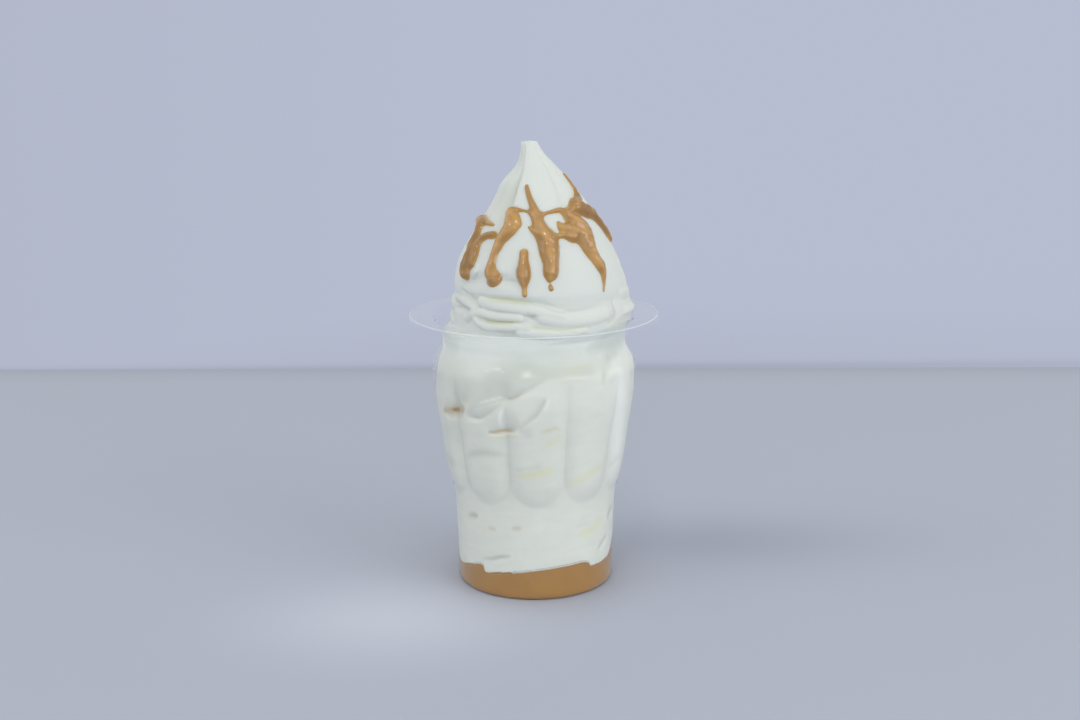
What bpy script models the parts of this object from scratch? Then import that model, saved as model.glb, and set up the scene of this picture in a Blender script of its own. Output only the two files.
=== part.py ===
"""Soft-serve sundae in a clear fluted cup, with a pool of biscuit sauce below and drizzled on top.

Three pieces, one object each:
  cup           thin clear shell: foot ring, lower cone, ten flutes, shoulder, neck, flat flange
  bottom_sauce  the pool of sauce, up to the wavy line that shows through the wall
  soft_serve    the ice cream that fills the cup and stands over it, with the drizzle joined on

Angles are in degrees round the cup: 0 faces the front (-Y), +90 is the right (+X).
Lengths below are millimetres and are turned into metres as the meshes are made.
"""

import bmesh
import bpy
import numpy as np
from mathutils import Vector

MM = 0.001

# ---------------------------------------------------------------- driving dimensions (mm)
CUP_HEIGHT = 106.0
WALL = 0.7
GAP = 0.35                     # clearance kept between neighbouring pieces
COLUMNS = 60                   # corners round every ring: six for each flute

FLANGE_RADIUS = 47.5
FLANGE_THICK = 0.8
SKIRT_DROP = 2.0
FOOT_INNER, FOOT_OUTER = 24.8, 29.3
FOOT_RECESS = 2.6              # the middle of the base stands this much over the table

FLUTES = 10
FLUTE_OFFSET = 1.8             # angle of the middle of the flute that faces the front
FLUTE_FOOT = 37.5              # lowest point of a flute's rounded end
FLUTE_EDGE = 8.0               # width of the soft edge of a flute

SWIRL_TOP = 171.0
CREASE_TWIST = 0.3             # degrees of turn of the nozzle's creases for each mm of height


# ---------------------------------------------------------------- shape helpers
def through(points, x):
    """Smooth curve through (position, value) pairs, read at x."""
    at, value = np.array(points, dtype=float).T
    slope = np.gradient(value, at)
    i = np.clip(np.searchsorted(at, x) - 1, 0, len(at) - 2)
    width = at[i + 1] - at[i]
    t = np.clip((x - at[i]) / width, 0.0, 1.0)
    rise = value[i] * (2 * t**3 - 3 * t**2 + 1) + value[i + 1] * (3 * t**2 - 2 * t**3)
    lean = slope[i] * (t**3 - 2 * t**2 + t) + slope[i + 1] * (t**3 - t**2)
    return rise + lean * width


def ease(low, high, x):
    """0 below low, 1 above high, smooth between."""
    t = np.clip((x - low) / (high - low), 0.0, 1.0)
    return t * t * (3 - 2 * t)


def around(angle):
    """The same angle, brought into -180..180."""
    return (angle + 180.0) % 360.0 - 180.0


def polar(angle, radius, z):
    """Corner at an angle, a distance from the axis and a height, in mm."""
    a = np.radians(angle)
    return np.array([radius * np.sin(a), -radius * np.cos(a), z])


def material(name, rgb, roughness, alpha=1.0):
    mat = bpy.data.materials.new(name)
    mat.use_nodes = True
    shader = mat.node_tree.nodes["Principled BSDF"]
    shader.inputs["Base Color"].default_value = (*rgb, 1.0)
    shader.inputs["Roughness"].default_value = roughness
    shader.inputs["Metallic"].default_value = 0.0
    shader.inputs["Alpha"].default_value = alpha
    return mat


def turned_body(name, rings, bottom, top):
    """Closed body from rings of equal count, joined in turn; each end closes on a middle point."""
    bm = bmesh.new()
    loops = [[bm.verts.new(Vector(p) * MM) for p in ring] for ring in rings]
    count = len(loops[0])
    for lower, upper in zip(loops, loops[1:]):
        for i in range(count):
            j = (i + 1) % count
            bm.faces.new((lower[i], lower[j], upper[j], upper[i]))
    for end, ring, flip in ((bottom, loops[0], True), (top, loops[-1], False)):
        middle = bm.verts.new(Vector(end) * MM)
        for i in range(count):
            j = (i + 1) % count
            corners = (ring[j], ring[i], middle) if flip else (ring[i], ring[j], middle)
            bm.faces.new(corners)
    bmesh.ops.triangulate(bm, faces=bm.faces)
    mesh = bpy.data.meshes.new(name)
    bm.to_mesh(mesh)
    bm.free()
    mesh.shade_smooth()
    mesh.set_sharp_from_angle(angle=np.radians(50))
    body = bpy.data.objects.new(name, mesh)
    bpy.context.collection.objects.link(body)
    return body


# ---------------------------------------------------------------- the cup
CONE = ((1.2, 30.3), (30.0, 31.2), (36.0, 31.5), (44.0, 32.1), (55.0, 33.3), (63.5, 34.5),
        (71.0, 36.0), (78.0, 37.3), (83.0, 38.2), (86.3, 38.7), (88.0, 38.5), (90.0, 37.4),
        (92.0, 36.1), (94.0, 35.3), (97.0, 35.1), (100.0, 35.9), (103.0, 37.5), (104.6, 38.4))
FLUTE_RELIEF = ((37.0, 1.7), (50.0, 1.7), (63.5, 1.35), (71.0, 1.1), (78.0, 0.9), (84.0, 0.6),
                (87.5, 0.2), (90.0, 0.0))
WALL_LEVELS = (1.6, 36.0, 39.0, 42.5, 47.5, 56.0, 66.0, 80.0, 86.3, 88.5, 93.6, 97.0, 104.6)


def flute(angle, z):
    """How far the flutes stand out: ten rounded panels with a half-round lower end."""
    pitch = 360.0 / FLUTES
    off = (angle - FLUTE_OFFSET + pitch / 2) % pitch - pitch / 2
    radius = through(CONE, z)
    side = np.radians(abs(off)) * radius
    half = np.radians(pitch / 2) * radius
    below = np.maximum(FLUTE_FOOT + half - z, 0.0)
    inside = np.clip((half - np.hypot(side, below)) / FLUTE_EDGE, 0.0, 1.0)
    return through(FLUTE_RELIEF, z) * (1 - (1 - inside) ** 2)


def cup_radius(angle, z):
    """Outside of the cup's wall."""
    return through(CONE, z) + flute(angle, z)


# One set of angles for every ring, so that nested pieces keep their gap all round.
ANGLES = FLUTE_OFFSET + np.arange(COLUMNS) * 360.0 / COLUMNS


def wall_ring(z, inset):
    return [polar(a, cup_radius(a, z) - inset, z) for a in ANGLES]


def round_ring(radius, z):
    return [polar(a, radius, z) for a in ANGLES]


def make_cup():
    foot = ((22.0, FOOT_RECESS), (FOOT_INNER, 0.0), (FOOT_OUTER, 0.0), (30.0, 0.5))
    flange = (
        (39.4, CUP_HEIGHT - FLANGE_THICK),
        (FLANGE_RADIUS - 0.9, CUP_HEIGHT - FLANGE_THICK),
        (FLANGE_RADIUS - 0.8, CUP_HEIGHT - SKIRT_DROP),
        (FLANGE_RADIUS, CUP_HEIGHT - SKIRT_DROP),
        (FLANGE_RADIUS - 0.1, CUP_HEIGHT),
        (39.5, CUP_HEIGHT),
    )
    floor = ((28.8, WALL), (FOOT_INNER + 0.3, WALL), (22.2, FOOT_RECESS + WALL))
    rings = [round_ring(r, z) for r, z in foot]
    rings += [wall_ring(z, 0.0) for z in WALL_LEVELS]
    rings += [round_ring(r, z) for r, z in flange]
    rings += [wall_ring(z, WALL) for z in reversed(WALL_LEVELS)]
    rings += [round_ring(r, z) for r, z in floor]
    return turned_body("cup", rings, (0, 0, FOOT_RECESS), (0, 0, FOOT_RECESS + WALL))


# ---------------------------------------------------------------- the sauce in the bottom
SAUCE_LINE = ((-180, 13.0), (-150, 11.5), (-120, 14.5), (-104, 19.0), (-92, 18.5), (-86, 14.0),
              (-82, 9.4), (-75, 8.2), (-66, 8.9), (-53, 11.0), (-44, 13.2), (-41, 12.6),
              (-39.9, 9.4), (-37, 9.3), (-26, 10.8), (-4, 12.8), (7, 13.5), (29, 14.3),
              (41.5, 13.8), (44, 12.0), (47, 11.0), (55, 10.8), (62, 11.4), (75, 14.3),
              (82, 17.5), (92, 19.0), (104, 15.5), (120, 13.0), (150, 11.0), (180, 13.0))
SAUCE_MIDDLE = 12.0


def sauce_height(angle, share):
    """Top of the sauce, from the middle (share 0) out to the wall (share 1)."""
    at_wall = np.interp(around(angle), *np.array(SAUCE_LINE).T)
    return SAUCE_MIDDLE + (at_wall - SAUCE_MIDDLE) * share**2


def interface_ring(share, lift):
    """Ring on the border between sauce and ice cream, raised by lift."""
    ring = []
    for a in ANGLES:
        z = sauce_height(a, share) + lift
        ring.append(polar(a, share * (cup_radius(a, z) - WALL - GAP), z))
    return ring


def make_bottom_sauce():
    inset = WALL + GAP
    floor = FOOT_RECESS + inset
    rings = [
        round_ring(22.3, floor),
        round_ring(FOOT_INNER + 0.5, inset),
        round_ring(28.4, inset),
        wall_ring(2.2, inset),
    ]
    rings += [interface_ring(share, 0.0) for share in (1.0, 0.6)]
    return turned_body("bottom_sauce", rings, (0, 0, floor), (0, 0, SAUCE_MIDDLE))


# ---------------------------------------------------------------- the ice cream
SWIRL = ((99.0, 34.5), (104.0, 34.9), (107.0, 34.6), (110.5, 33.9), (114.0, 32.8), (118.0, 32.7),
         (122.0, 31.8), (127.0, 30.2), (131.5, 28.0), (136.0, 25.6), (141.0, 23.0), (145.0, 20.4),
         (149.5, 17.4), (154.0, 14.4), (158.5, 10.9), (163.0, 7.4), (167.0, 4.6), (170.4, 3.1))
SPINE = ((99.0, 2.8), (104.0, 3.6), (110.0, 3.2), (118.0, 2.6), (127.0, 1.9), (136.0, 2.2),
         (145.0, 2.4), (154.0, 1.5), (160.0, 0.9), (166.0, -0.4), (171.0, -1.3))
CREASE_DEPTH = ((128.0, 0.0), (137.0, 0.5), (147.0, 1.7), (155.0, 1.6), (160.0, 1.0), (165.0, 0.5),
                (170.8, 0.1))
# Creases between the nozzle's ridges: angle, strength, and width of the left and right sides.
CREASES = ((-36, 2.6, 20, 3), (-2, 0.4, 10, 8), (27, 1.2, 12, 5), (58, 0.5, 9, 9), (86, 0.9, 8, 12),
           (118, 0.6, 9, 9), (150, 1.0, 14, 6), (178, 0.5, 9, 9), (-152, 0.9, 7, 12),
           (-122, 0.6, 9, 9), (-94, 0.8, 9, 9), (-66, 0.35, 9, 9))

# Folds laid down by the nozzle: (angle, height) path, half width and rise in mm.
FOLDS = (
    (((-64, 120.5), (-53, 121.1), (-42, 122.9), (-29, 123.9), (-11, 122.7)), 2.2, -1.2),
    (((-45, 116.6), (-23, 116.3), (-4, 115.3), (8, 113.5), (13, 111.6)), 2.0, -1.1),
    (((-42, 114.4), (-24, 113.6), (-4, 113.0), (13, 110.9)), 2.4, 1.1),
    (((-56, 107.9), (-42, 110.9), (-27, 110.3), (-14, 110.4)), 1.9, 0.9),
    (((-46, 108.1), (-36, 106.0), (-17, 106.9), (-9, 106.6)), 1.8, 0.7),
    (((1, 110.6), (24, 108.7), (44, 110.2)), 3.4, 0.8),
    (((9, 113.7), (18, 112.0), (42, 113.1)), 1.8, -0.8),
    (((53, 114.6), (52, 108.7), (43, 105.8)), 1.7, -1.1),
    (((-66, 117.8), (-45, 113.6)), 1.8, -0.9),
)


def back_folds():
    """The rope of ice cream goes on round the hidden side, a little lower on each turn."""
    folds = []
    for first in (118.0, 111.5):
        path = [(a, first - 0.012 * (a - 70) + 0.9 * np.sin(np.radians(2.3 * a)))
                for a in range(66, 290, 16)]
        folds.append((path, 2.4, -1.3))
        folds.append(([(a, z - 3.2) for a, z in path], 2.6, 1.0))
    return folds


def fold_offset(angle, z, radius):
    """Sum of the folds' rise at one place on the swirl."""
    total = 0.0
    for path, half, rise in list(FOLDS) + back_folds():
        a, h = np.array(path, dtype=float).T
        x = np.radians(around(a - angle)) * radius
        y = h - z
        dx, dy = np.diff(x), np.diff(y)
        t = np.clip(-(x[:-1] * dx + y[:-1] * dy) / (dx**2 + dy**2), 0.0, 1.0)
        near = np.hypot(x[:-1] + t * dx, y[:-1] + t * dy).min()
        total += rise * np.exp(-(near / half) ** 2 * 1.4)
    return total


def swirl_radius(angle, z):
    """Distance from the swirl's own leaning middle line to its surface."""
    radius = through(SWIRL, z)
    depth = through(CREASE_DEPTH, z)
    groove = 0.0
    for at, strength, left_side, right_side in CREASES:
        off = around(angle - at - CREASE_TWIST * (z - 150.0))
        groove += strength * np.exp(off / left_side if off < 0 else -off / right_side)
    left = np.exp(-(around(angle + 80.0) / 32.0) ** 2)
    flank = left * (0.6 * np.exp(-((z - 156.0) / 3.0) ** 2) - 2.4 * np.exp(-((z - 161.8) / 2.4) ** 2))
    return radius + flank - depth * (groove - 0.25) + fold_offset(angle, z, radius)


def swirl_point(angle, z):
    """Point on the swirl, in mm, before the mouth of the cup limits it."""
    return polar(angle, swirl_radius(angle, z), z) + np.array([through(SPINE, z), 0.0, 0.0])


def serve_point(angle, z):
    """Point on the ice cream: it fills the cup, then rises out of the neck as the swirl."""
    inner = cup_radius(angle, min(z, 104.6)) - WALL - GAP
    share = ease(96.0, 103.5, z)
    if share == 0.0:
        return polar(angle, inner, z)
    point = (1 - share) * polar(angle, inner, z) + share * swirl_point(angle, max(z, 99.0))
    reach = np.hypot(point[0], point[1])
    if reach > inner:
        point[:2] *= inner / reach
    return point


def make_cream():
    levels = [z for z in WALL_LEVELS if 20.0 < z < 100.0]
    levels += [100.5, 104.6, 107.4, 110.2]
    levels += list(np.arange(112.7, 169.0, 2.45)) + [SWIRL_TOP - 0.6]
    rings = [interface_ring(share, GAP) for share in (0.6, 1.0)]
    rings += [[serve_point(a, z) for a in ANGLES] for z in levels]
    tip = (through(SPINE, SWIRL_TOP), 0.0, SWIRL_TOP)
    return turned_body("soft_serve", rings, (0, 0, SAUCE_MIDDLE + GAP), tip)


# ---------------------------------------------------------------- the drizzle
# Each run of sauce: angle, height (mm) and half width (mm) along its middle line.
DRIZZLE = {
    "far_left": ((-80, 141.8, 2.2), (-72, 140.0, 1.9), (-67, 136.6, 2.1), (-64, 133.0, 2.7),
                 (-61, 128.5, 3.0), (-60, 124.2, 2.8)),
    "far_left_spur": ((-72, 142.0, 1.7), (-62, 141.9, 1.1), (-53, 141.6, 0.6)),
    "far_left_branch": ((-46, 138.2, 1.5), (-55, 136.7, 1.6), (-56.5, 134.0, 1.5), (-52, 130.0, 0.9)),
    "left": ((-32, 146.0, 1.7), (-30, 143.6, 2.0), (-27, 141.6, 3.1), (-30, 138.0, 2.5),
             (-32.5, 134.0, 1.6), (-33.3, 130.4, 1.3), (-32.8, 127.0, 2.0), (-32.2, 123.4, 2.8)),
    "arch_left": ((-31, 146.5, 1.5), (-21, 147.3, 0.8), (-8, 146.4, 0.8)),
    "lone": ((-11, 132.6, 1.7), (-10.4, 128.8, 2.2), (-10.1, 125.2, 2.7), (-9.9, 122.0, 1.4),
             (-9.9, 118.9, 1.0)),
    "middle": ((-15, 155.2, 0.9), (-10, 151.5, 1.1), (-4, 146.6, 1.8), (1, 142.0, 2.6),
               (5.8, 138.0, 3.7), (8.2, 133.6, 3.8), (9, 129.4, 3.1), (8.5, 126.4, 2.4)),
    "arch_right": ((2, 145.8, 0.8), (12, 146.6, 0.8), (24, 147.2, 1.0), (31, 146.1, 1.3)),
    "right": ((31, 146.1, 1.3), (34, 143.6, 2.2), (38.5, 139.8, 4.1), (41.5, 135.6, 3.7),
              (43.5, 131.4, 2.9), (48, 127.0, 2.4), (48.8, 123.6, 1.5), (45.6, 118.8, 0.6)),
    "right_lobe": ((35.6, 139.2, 2.7), (27, 140.5, 2.4), (20, 142.0, 1.0)),
    "link": ((29.6, 138.0, 2.1), (20, 138.5, 1.0), (11.6, 138.3, 1.2)),
    "far_right": ((75, 158.0, 0.8), (69, 153.6, 1.1), (60, 150.0, 1.9), (51, 147.8, 3.1),
                  (60, 146.0, 3.1), (70, 143.0, 2.3), (80, 138.7, 2.0), (87.5, 134.4, 1.5)),
}
BACK_RUNS = ("left", "arch_left", "lone", "middle", "arch_right", "right", "right_lobe", "link")
BACK_SPREAD = 0.9              # the back's runs stand this much closer together than the front's
SIDE_RUN = ((126, 148.6, 1.0), (127, 143.0, 1.8), (126, 136.0, 1.5), (125, 129.5, 2.5),
            (126, 126.0, 2.1))
RUN_SIDES = 8
RUN_STEP = 3.5                 # length of one ring of a run
RUN_HEIGHT = 0.85              # thickness of a run for each mm of its half width
RUN_LIMIT = 2.6                # and never thicker than this


def all_runs():
    """The runs that show, and the same kind of runs round the side and the back."""
    runs = list(DRIZZLE.values())
    for name in BACK_RUNS:
        runs.append([(180 - BACK_SPREAD * a, z - 0.8, 0.94 * w) for a, z, w in DRIZZLE[name]])
    runs.append(SIDE_RUN)
    runs.append([(-a, z - 1.2, w) for a, z, w in SIDE_RUN])
    return runs


def sample_run(run):
    """Even steps along a run: angle, height and half width, smooth between its points."""
    a, z, w = np.array(run, dtype=float).T
    x = np.radians(a) * 26.0
    travel = np.concatenate(([0.0], np.cumsum(np.hypot(np.diff(x), np.diff(z)))))
    steps = np.linspace(0.0, travel[-1], max(4, int(travel[-1] / RUN_STEP)))
    return [tuple(through(list(zip(travel, v)), s) for v in (a, z, w)) for s in steps]


def surface_frame(angle, z):
    """Point on the ice cream and the direction that faces out of it there."""
    here = serve_point(angle, z)
    aside = serve_point(angle + 3.0, z) - serve_point(angle - 3.0, z)
    upward = serve_point(angle, z + 1.0) - serve_point(angle, z - 1.0)
    out = np.cross(aside, upward)
    return here, out / np.linalg.norm(out)


def make_run(index, run):
    """A rope of sauce lying on the ice cream, round at both ends."""
    samples = sample_run(run)
    frames = [surface_frame(a, z) for a, z, _ in samples]
    spots = np.array([here for here, _ in frames])
    along = np.gradient(spots, axis=0)
    rings = []
    for i, ((_, _, half), (here, out)) in enumerate(zip(samples, frames)):
        way = along[i] / np.linalg.norm(along[i])
        side = np.cross(way, out)
        side /= np.linalg.norm(side)
        thick = min(RUN_HEIGHT * half, RUN_LIMIT)
        shrink = 0.62 if i in (0, len(samples) - 1) else 1.0
        turn = np.radians(np.arange(RUN_SIDES) * 360.0 / RUN_SIDES)
        rings.append([here + shrink * (half * np.cos(t) * side + thick * np.sin(t) * out)
                      for t in turn])
    start = spots[0] - along[0] / np.linalg.norm(along[0]) * samples[0][2] * 0.6
    end = spots[-1] + along[-1] / np.linalg.norm(along[-1]) * samples[-1][2] * 0.6
    return turned_body(f"run_{index}", rings, start, end)


def make_soft_serve():
    cream = make_cream()
    drizzle = bpy.data.collections.new("drizzle")
    bpy.context.scene.collection.children.link(drizzle)
    for index, run in enumerate(all_runs()):
        rope = make_run(index, run)
        bpy.context.collection.objects.unlink(rope)
        drizzle.objects.link(rope)
    join = cream.modifiers.new("drizzle", "BOOLEAN")
    join.operation = "UNION"
    join.operand_type = "COLLECTION"
    join.collection = drizzle
    join.solver = "EXACT"
    with bpy.context.temp_override(object=cream, active_object=cream):
        bpy.ops.object.modifier_apply(modifier=join.name)
    for rope in list(drizzle.objects):
        bpy.data.objects.remove(rope)
    bpy.data.collections.remove(drizzle)
    return cream


# ---------------------------------------------------------------- build
def main():
    for old in list(bpy.data.objects):
        bpy.data.objects.remove(old)
    looks = {
        "clear_plastic": material("clear_plastic", (0.80, 0.83, 0.88), 0.12, alpha=0.3),
        "soft_serve": material("soft_serve", (0.68, 0.72, 0.68), 0.5),
        "biscuit_sauce": material("biscuit_sauce", (0.45, 0.27, 0.12), 0.25),
    }
    cup = make_cup()
    cup.data.materials.append(looks["clear_plastic"])
    pool = make_bottom_sauce()
    pool.data.materials.append(looks["biscuit_sauce"])
    serve = make_soft_serve()
    serve.data.materials.append(looks["soft_serve"])
    for body in (cup, pool, serve):
        print(body.name, "triangles:", sum(len(f.vertices) - 2 for f in body.data.polygons))


main()
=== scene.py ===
# %% [markdown]
# # Biscuit sundae in a clear cup
# A tall swirl of soft serve stands in a clear, fluted plastic cup. Thick biscuit sauce lies in
# the bottom of the cup and runs down the swirl in strands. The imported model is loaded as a
# fixed frame: it gives the size and the place of the cup, the sauce and the ice cream. Every
# piece made below stands in that same frame, so nothing has to be fitted by hand afterwards.

import bmesh
import bpy
import numpy as np
from mathutils import Matrix, Vector


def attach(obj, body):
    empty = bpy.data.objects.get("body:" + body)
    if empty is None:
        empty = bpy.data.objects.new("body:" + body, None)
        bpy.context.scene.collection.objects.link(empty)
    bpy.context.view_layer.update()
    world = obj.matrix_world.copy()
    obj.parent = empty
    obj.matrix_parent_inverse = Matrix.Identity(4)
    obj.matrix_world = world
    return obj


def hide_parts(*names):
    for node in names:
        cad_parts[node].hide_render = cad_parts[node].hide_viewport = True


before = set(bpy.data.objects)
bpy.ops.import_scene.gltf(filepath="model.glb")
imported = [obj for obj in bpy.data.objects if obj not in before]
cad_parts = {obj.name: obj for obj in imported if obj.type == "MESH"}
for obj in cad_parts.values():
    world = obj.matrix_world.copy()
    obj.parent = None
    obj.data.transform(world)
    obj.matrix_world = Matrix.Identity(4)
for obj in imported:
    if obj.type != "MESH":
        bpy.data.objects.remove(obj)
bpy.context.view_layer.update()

# %% [markdown]
# ## Lengths and curves
# The sundae is measured in millimetres, and Blender works in metres, so one factor turns one
# into the other as each mesh is made. Angles go round the cup: 0 faces the front, +90 the
# right. Soft shapes are described by short tables of (height, value), and one smooth curve
# through each table gives all the values between. That is easier to read and to change than
# a long list of corners.

# %% Units and curves
MM = 0.001


def through(points, x):
    """Smooth curve through (position, value) pairs, read at x."""
    at, value = np.array(points, dtype=float).T
    slope = np.gradient(value, at)
    i = np.clip(np.searchsorted(at, x) - 1, 0, len(at) - 2)
    width = at[i + 1] - at[i]
    t = np.clip((x - at[i]) / width, 0.0, 1.0)
    rise = value[i] * (2 * t**3 - 3 * t**2 + 1) + value[i + 1] * (3 * t**2 - 2 * t**3)
    lean = slope[i] * (t**3 - 2 * t**2 + t) + slope[i + 1] * (t**3 - t**2)
    return rise + lean * width


def ease(low, high, x):
    """0 below low, 1 above high, smooth between."""
    t = np.clip((x - low) / (high - low), 0.0, 1.0)
    return t * t * (3 - 2 * t)


def around(angle):
    """The same angle, brought into -180..180."""
    return (angle + 180.0) % 360.0 - 180.0


def polar(angle, radius, z):
    """Places at an angle, a distance from the axis and a height, in mm."""
    a = np.radians(angle)
    return np.stack(np.broadcast_arrays(radius * np.sin(a), -radius * np.cos(a), z), axis=-1)


# %% [markdown]
# ## Camera
# The camera was found from the ellipses of the flange and the foot: they give the lens and how
# far down it looks. A lens of 50.4 mm at 0.6 m has the same perspective as the picture. The
# camera is turned by a matrix, first the tilt and then a roll of less than half a degree.

# %% The camera
LENS = 50.4
CAMERA_PLACE = Vector((0.0023, -0.568, 0.220))
LOOKS_DOWN = 13.19
ROLL = -0.4

camera_data = bpy.data.cameras.new("camera")
camera_data.lens = LENS
camera_data.sensor_width = 36.0
camera_data.clip_start, camera_data.clip_end = 0.01, 20.0
camera = bpy.data.objects.new("camera", camera_data)
bpy.context.scene.collection.objects.link(camera)
tilt = Matrix.Rotation(np.radians(90.0 - LOOKS_DOWN), 4, "X")
roll = Matrix.Rotation(np.radians(ROLL), 4, "Z")
camera.matrix_world = Matrix.Translation(CAMERA_PLACE) @ tilt @ roll
bpy.context.scene.camera = camera
print("camera stands", round(CAMERA_PLACE.length, 3), "m from the foot of the cup")

# %% [markdown]
# ## Node helpers
# A material and a Geometry Nodes tree are both graphs of small sums, so the same two helpers
# serve both. `add_node` makes a node and fills in its inputs, and `calc` is one Math node whose
# inputs are numbers or other nodes' outputs. With them a formula reads almost like plain code.


# %% Node helpers
def feed(tree, socket, value):
    """Gives an input a number, or links another node's output to it."""
    if isinstance(value, bpy.types.NodeSocket):
        tree.links.new(value, socket)
    else:
        socket.default_value = value


def add_node(tree, kind, inputs=None, **settings):
    node = tree.nodes.new(kind)
    for name, value in settings.items():
        setattr(node, name, value)
    for name, value in (inputs or {}).items():
        feed(tree, node.inputs[name], value)
    return node


def calc(tree, operation, *values):
    """The output of one Math node."""
    node = add_node(tree, "ShaderNodeMath", operation=operation)
    for socket, value in zip(node.inputs, values):
        feed(tree, socket, value)
    return node.outputs[0]


def new_material(name):
    """An empty material: its tree, and the socket that takes the finished surface."""
    made = bpy.data.materials.new(name)
    made.use_nodes = True
    made.node_tree.nodes.clear()
    output = made.node_tree.nodes.new("ShaderNodeOutputMaterial")
    return made, made.node_tree, output.inputs["Surface"]


def mix_colour(tree, amount, first, second, blend="MIX"):
    """Output of a colour mix: first where amount is 0, blended with second where it is 1."""
    node = add_node(tree, "ShaderNodeMix", data_type="RGBA", blend_type=blend)
    feed(tree, node.inputs[0], amount)
    feed(tree, node.inputs[6], first)
    feed(tree, node.inputs[7], second)
    return node.outputs[2]


# %% [markdown]
# ## Floor, background and lights
# The sundae stands on a pale blue-grey table whose far edge is 34 cm behind the cup. Only the
# table is a mesh. What lies beyond it is the colour of the world, so that the camera can also
# go round the back. The table's shades are painted by place, in Object coordinates: a painted
# shade along the far edge, which turns away from the light, a painted shadow of the cup on its
# right and a painted pool of light in front of it on the left. Painted shades stay where they
# are when the camera moves, and they need no lamp of their own.

# %% The table
TABLE_BACK = 0.348
TABLE_TURN = 0.0194
TABLE_HALF = 2.5
EDGE_STRIP = 0.05

table_mesh = bpy.data.meshes.new("table")
table_mesh.from_pydata(
    [(-TABLE_HALF, -TABLE_HALF, 0), (TABLE_HALF, -TABLE_HALF, 0),
     (TABLE_HALF, TABLE_BACK - TABLE_TURN * TABLE_HALF, 0),
     (-TABLE_HALF, TABLE_BACK + TABLE_TURN * TABLE_HALF, 0)], [], [(0, 1, 2, 3)])
table = bpy.data.objects.new("table", table_mesh)
bpy.context.scene.collection.objects.link(table)

paint, tree, surface = new_material("table_paint")
place = add_node(tree, "ShaderNodeTexCoord").outputs["Object"]
cloudy = add_node(tree, "ShaderNodeTexNoise", {"Vector": place, "Scale": 3.0, "Detail": 2.0})
sides = add_node(tree, "ShaderNodeSeparateXYZ", {"Vector": place})
back = calc(tree, "MULTIPLY_ADD", sides.outputs["X"], TABLE_TURN, sides.outputs["Y"])
# Painted shade: darker towards the table's far edge.
edge_shade = calc(tree, "MAXIMUM", 0.0, calc(
    tree, "DIVIDE", calc(tree, "SUBTRACT", back, TABLE_BACK - EDGE_STRIP), EDGE_STRIP))
edge_shade = calc(tree, "POWER", edge_shade, 2.5)
pale = mix_colour(tree, cloudy.outputs["Fac"], (0.50, 0.54, 0.645, 1), (0.515, 0.555, 0.66, 1))
pale = mix_colour(tree, edge_shade, pale, (0.44, 0.475, 0.565, 1))


def patch(middle, size):
    """1 at one place of the table, fading out like a bell over the given size."""
    total = 0.0
    for axis, at, wide in zip("XY", middle, size):
        off = calc(tree, "DIVIDE", calc(tree, "SUBTRACT", sides.outputs[axis], at), wide)
        total = calc(tree, "MULTIPLY_ADD", off, off, total)
    return calc(tree, "EXPONENT", calc(tree, "MULTIPLY", total, -1.0))


# Painted shadow of the cup on its right, then a painted pool of light in front of it on the left.
pale = mix_colour(tree, patch((0.07, 0.035), (0.07, 0.03)), pale, (0.415, 0.452, 0.555, 1))
pale = mix_colour(tree, patch((-0.05, -0.045), (0.05, 0.035)), pale, (0.65, 0.69, 0.80, 1))
shader = add_node(tree, "ShaderNodeBsdfPrincipled", {"Base Color": pale, "Roughness": 0.6})
shader.inputs["Specular IOR Level"].default_value = 0.25
tree.links.new(shader.outputs[0], surface)
table_mesh.materials.append(paint)
print("table edge lies", TABLE_BACK, "m behind the cup")

# %% [markdown]
# ## Light of the room
# A plain studio: the world gives an even light from all sides, and four softboxes shape it.
# What the camera sees behind the table is a separate blue-grey, chosen by the kind of ray, so
# that the background doesn't tint the white ice cream. Its slight gradient depends only on the
# direction of the ray, as a wall far behind would: it is darker towards the left, and painted
# shade darkens the foot of the wall, most in a thin band just above the table's edge.

# %% World and lights
WALL_COLOUR = (0.474, 0.512, 0.634, 1.0)
WALL_DIM = (0.415, 0.449, 0.552, 1.0)
WALL_FOOT_SHADE = (0.362, 0.392, 0.478, 1.0)
ROOM_LIGHT = (0.675, 0.68, 0.675, 1.0)
world = bpy.data.worlds.new("studio")
world.use_nodes = True
tree = world.node_tree
ray = add_node(tree, "ShaderNodeLightPath")
seen = calc(tree, "MAXIMUM", ray.outputs["Is Camera Ray"], ray.outputs["Is Transmission Ray"])
seen = calc(tree, "MULTIPLY", seen, calc(
    tree, "SUBTRACT", 1.0, calc(tree, "MINIMUM", 1.0, ray.outputs["Diffuse Depth"])))
way = add_node(tree, "ShaderNodeSeparateXYZ",
               {"Vector": add_node(tree, "ShaderNodeTexCoord").outputs["Generated"]})
slope = calc(tree, "DIVIDE", way.outputs["Z"], calc(tree, "MAXIMUM", way.outputs["Y"], 0.1))
aside = calc(tree, "ABSOLUTE", way.outputs["X"])
ahead = calc(tree, "MAXIMUM", 0.0, calc(tree, "MULTIPLY_ADD", aside, -1.6, 1.0))


def near_foot(width):
    """1 at the foot of the wall behind the sundae, fading out over this much slope above it."""
    off = calc(tree, "DIVIDE", calc(tree, "ADD", slope, 0.2399), width)
    bell = calc(tree, "EXPONENT", calc(tree, "MULTIPLY", calc(tree, "MULTIPLY", off, off), -1.0))
    return calc(tree, "MULTIPLY", bell, ahead)


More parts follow.
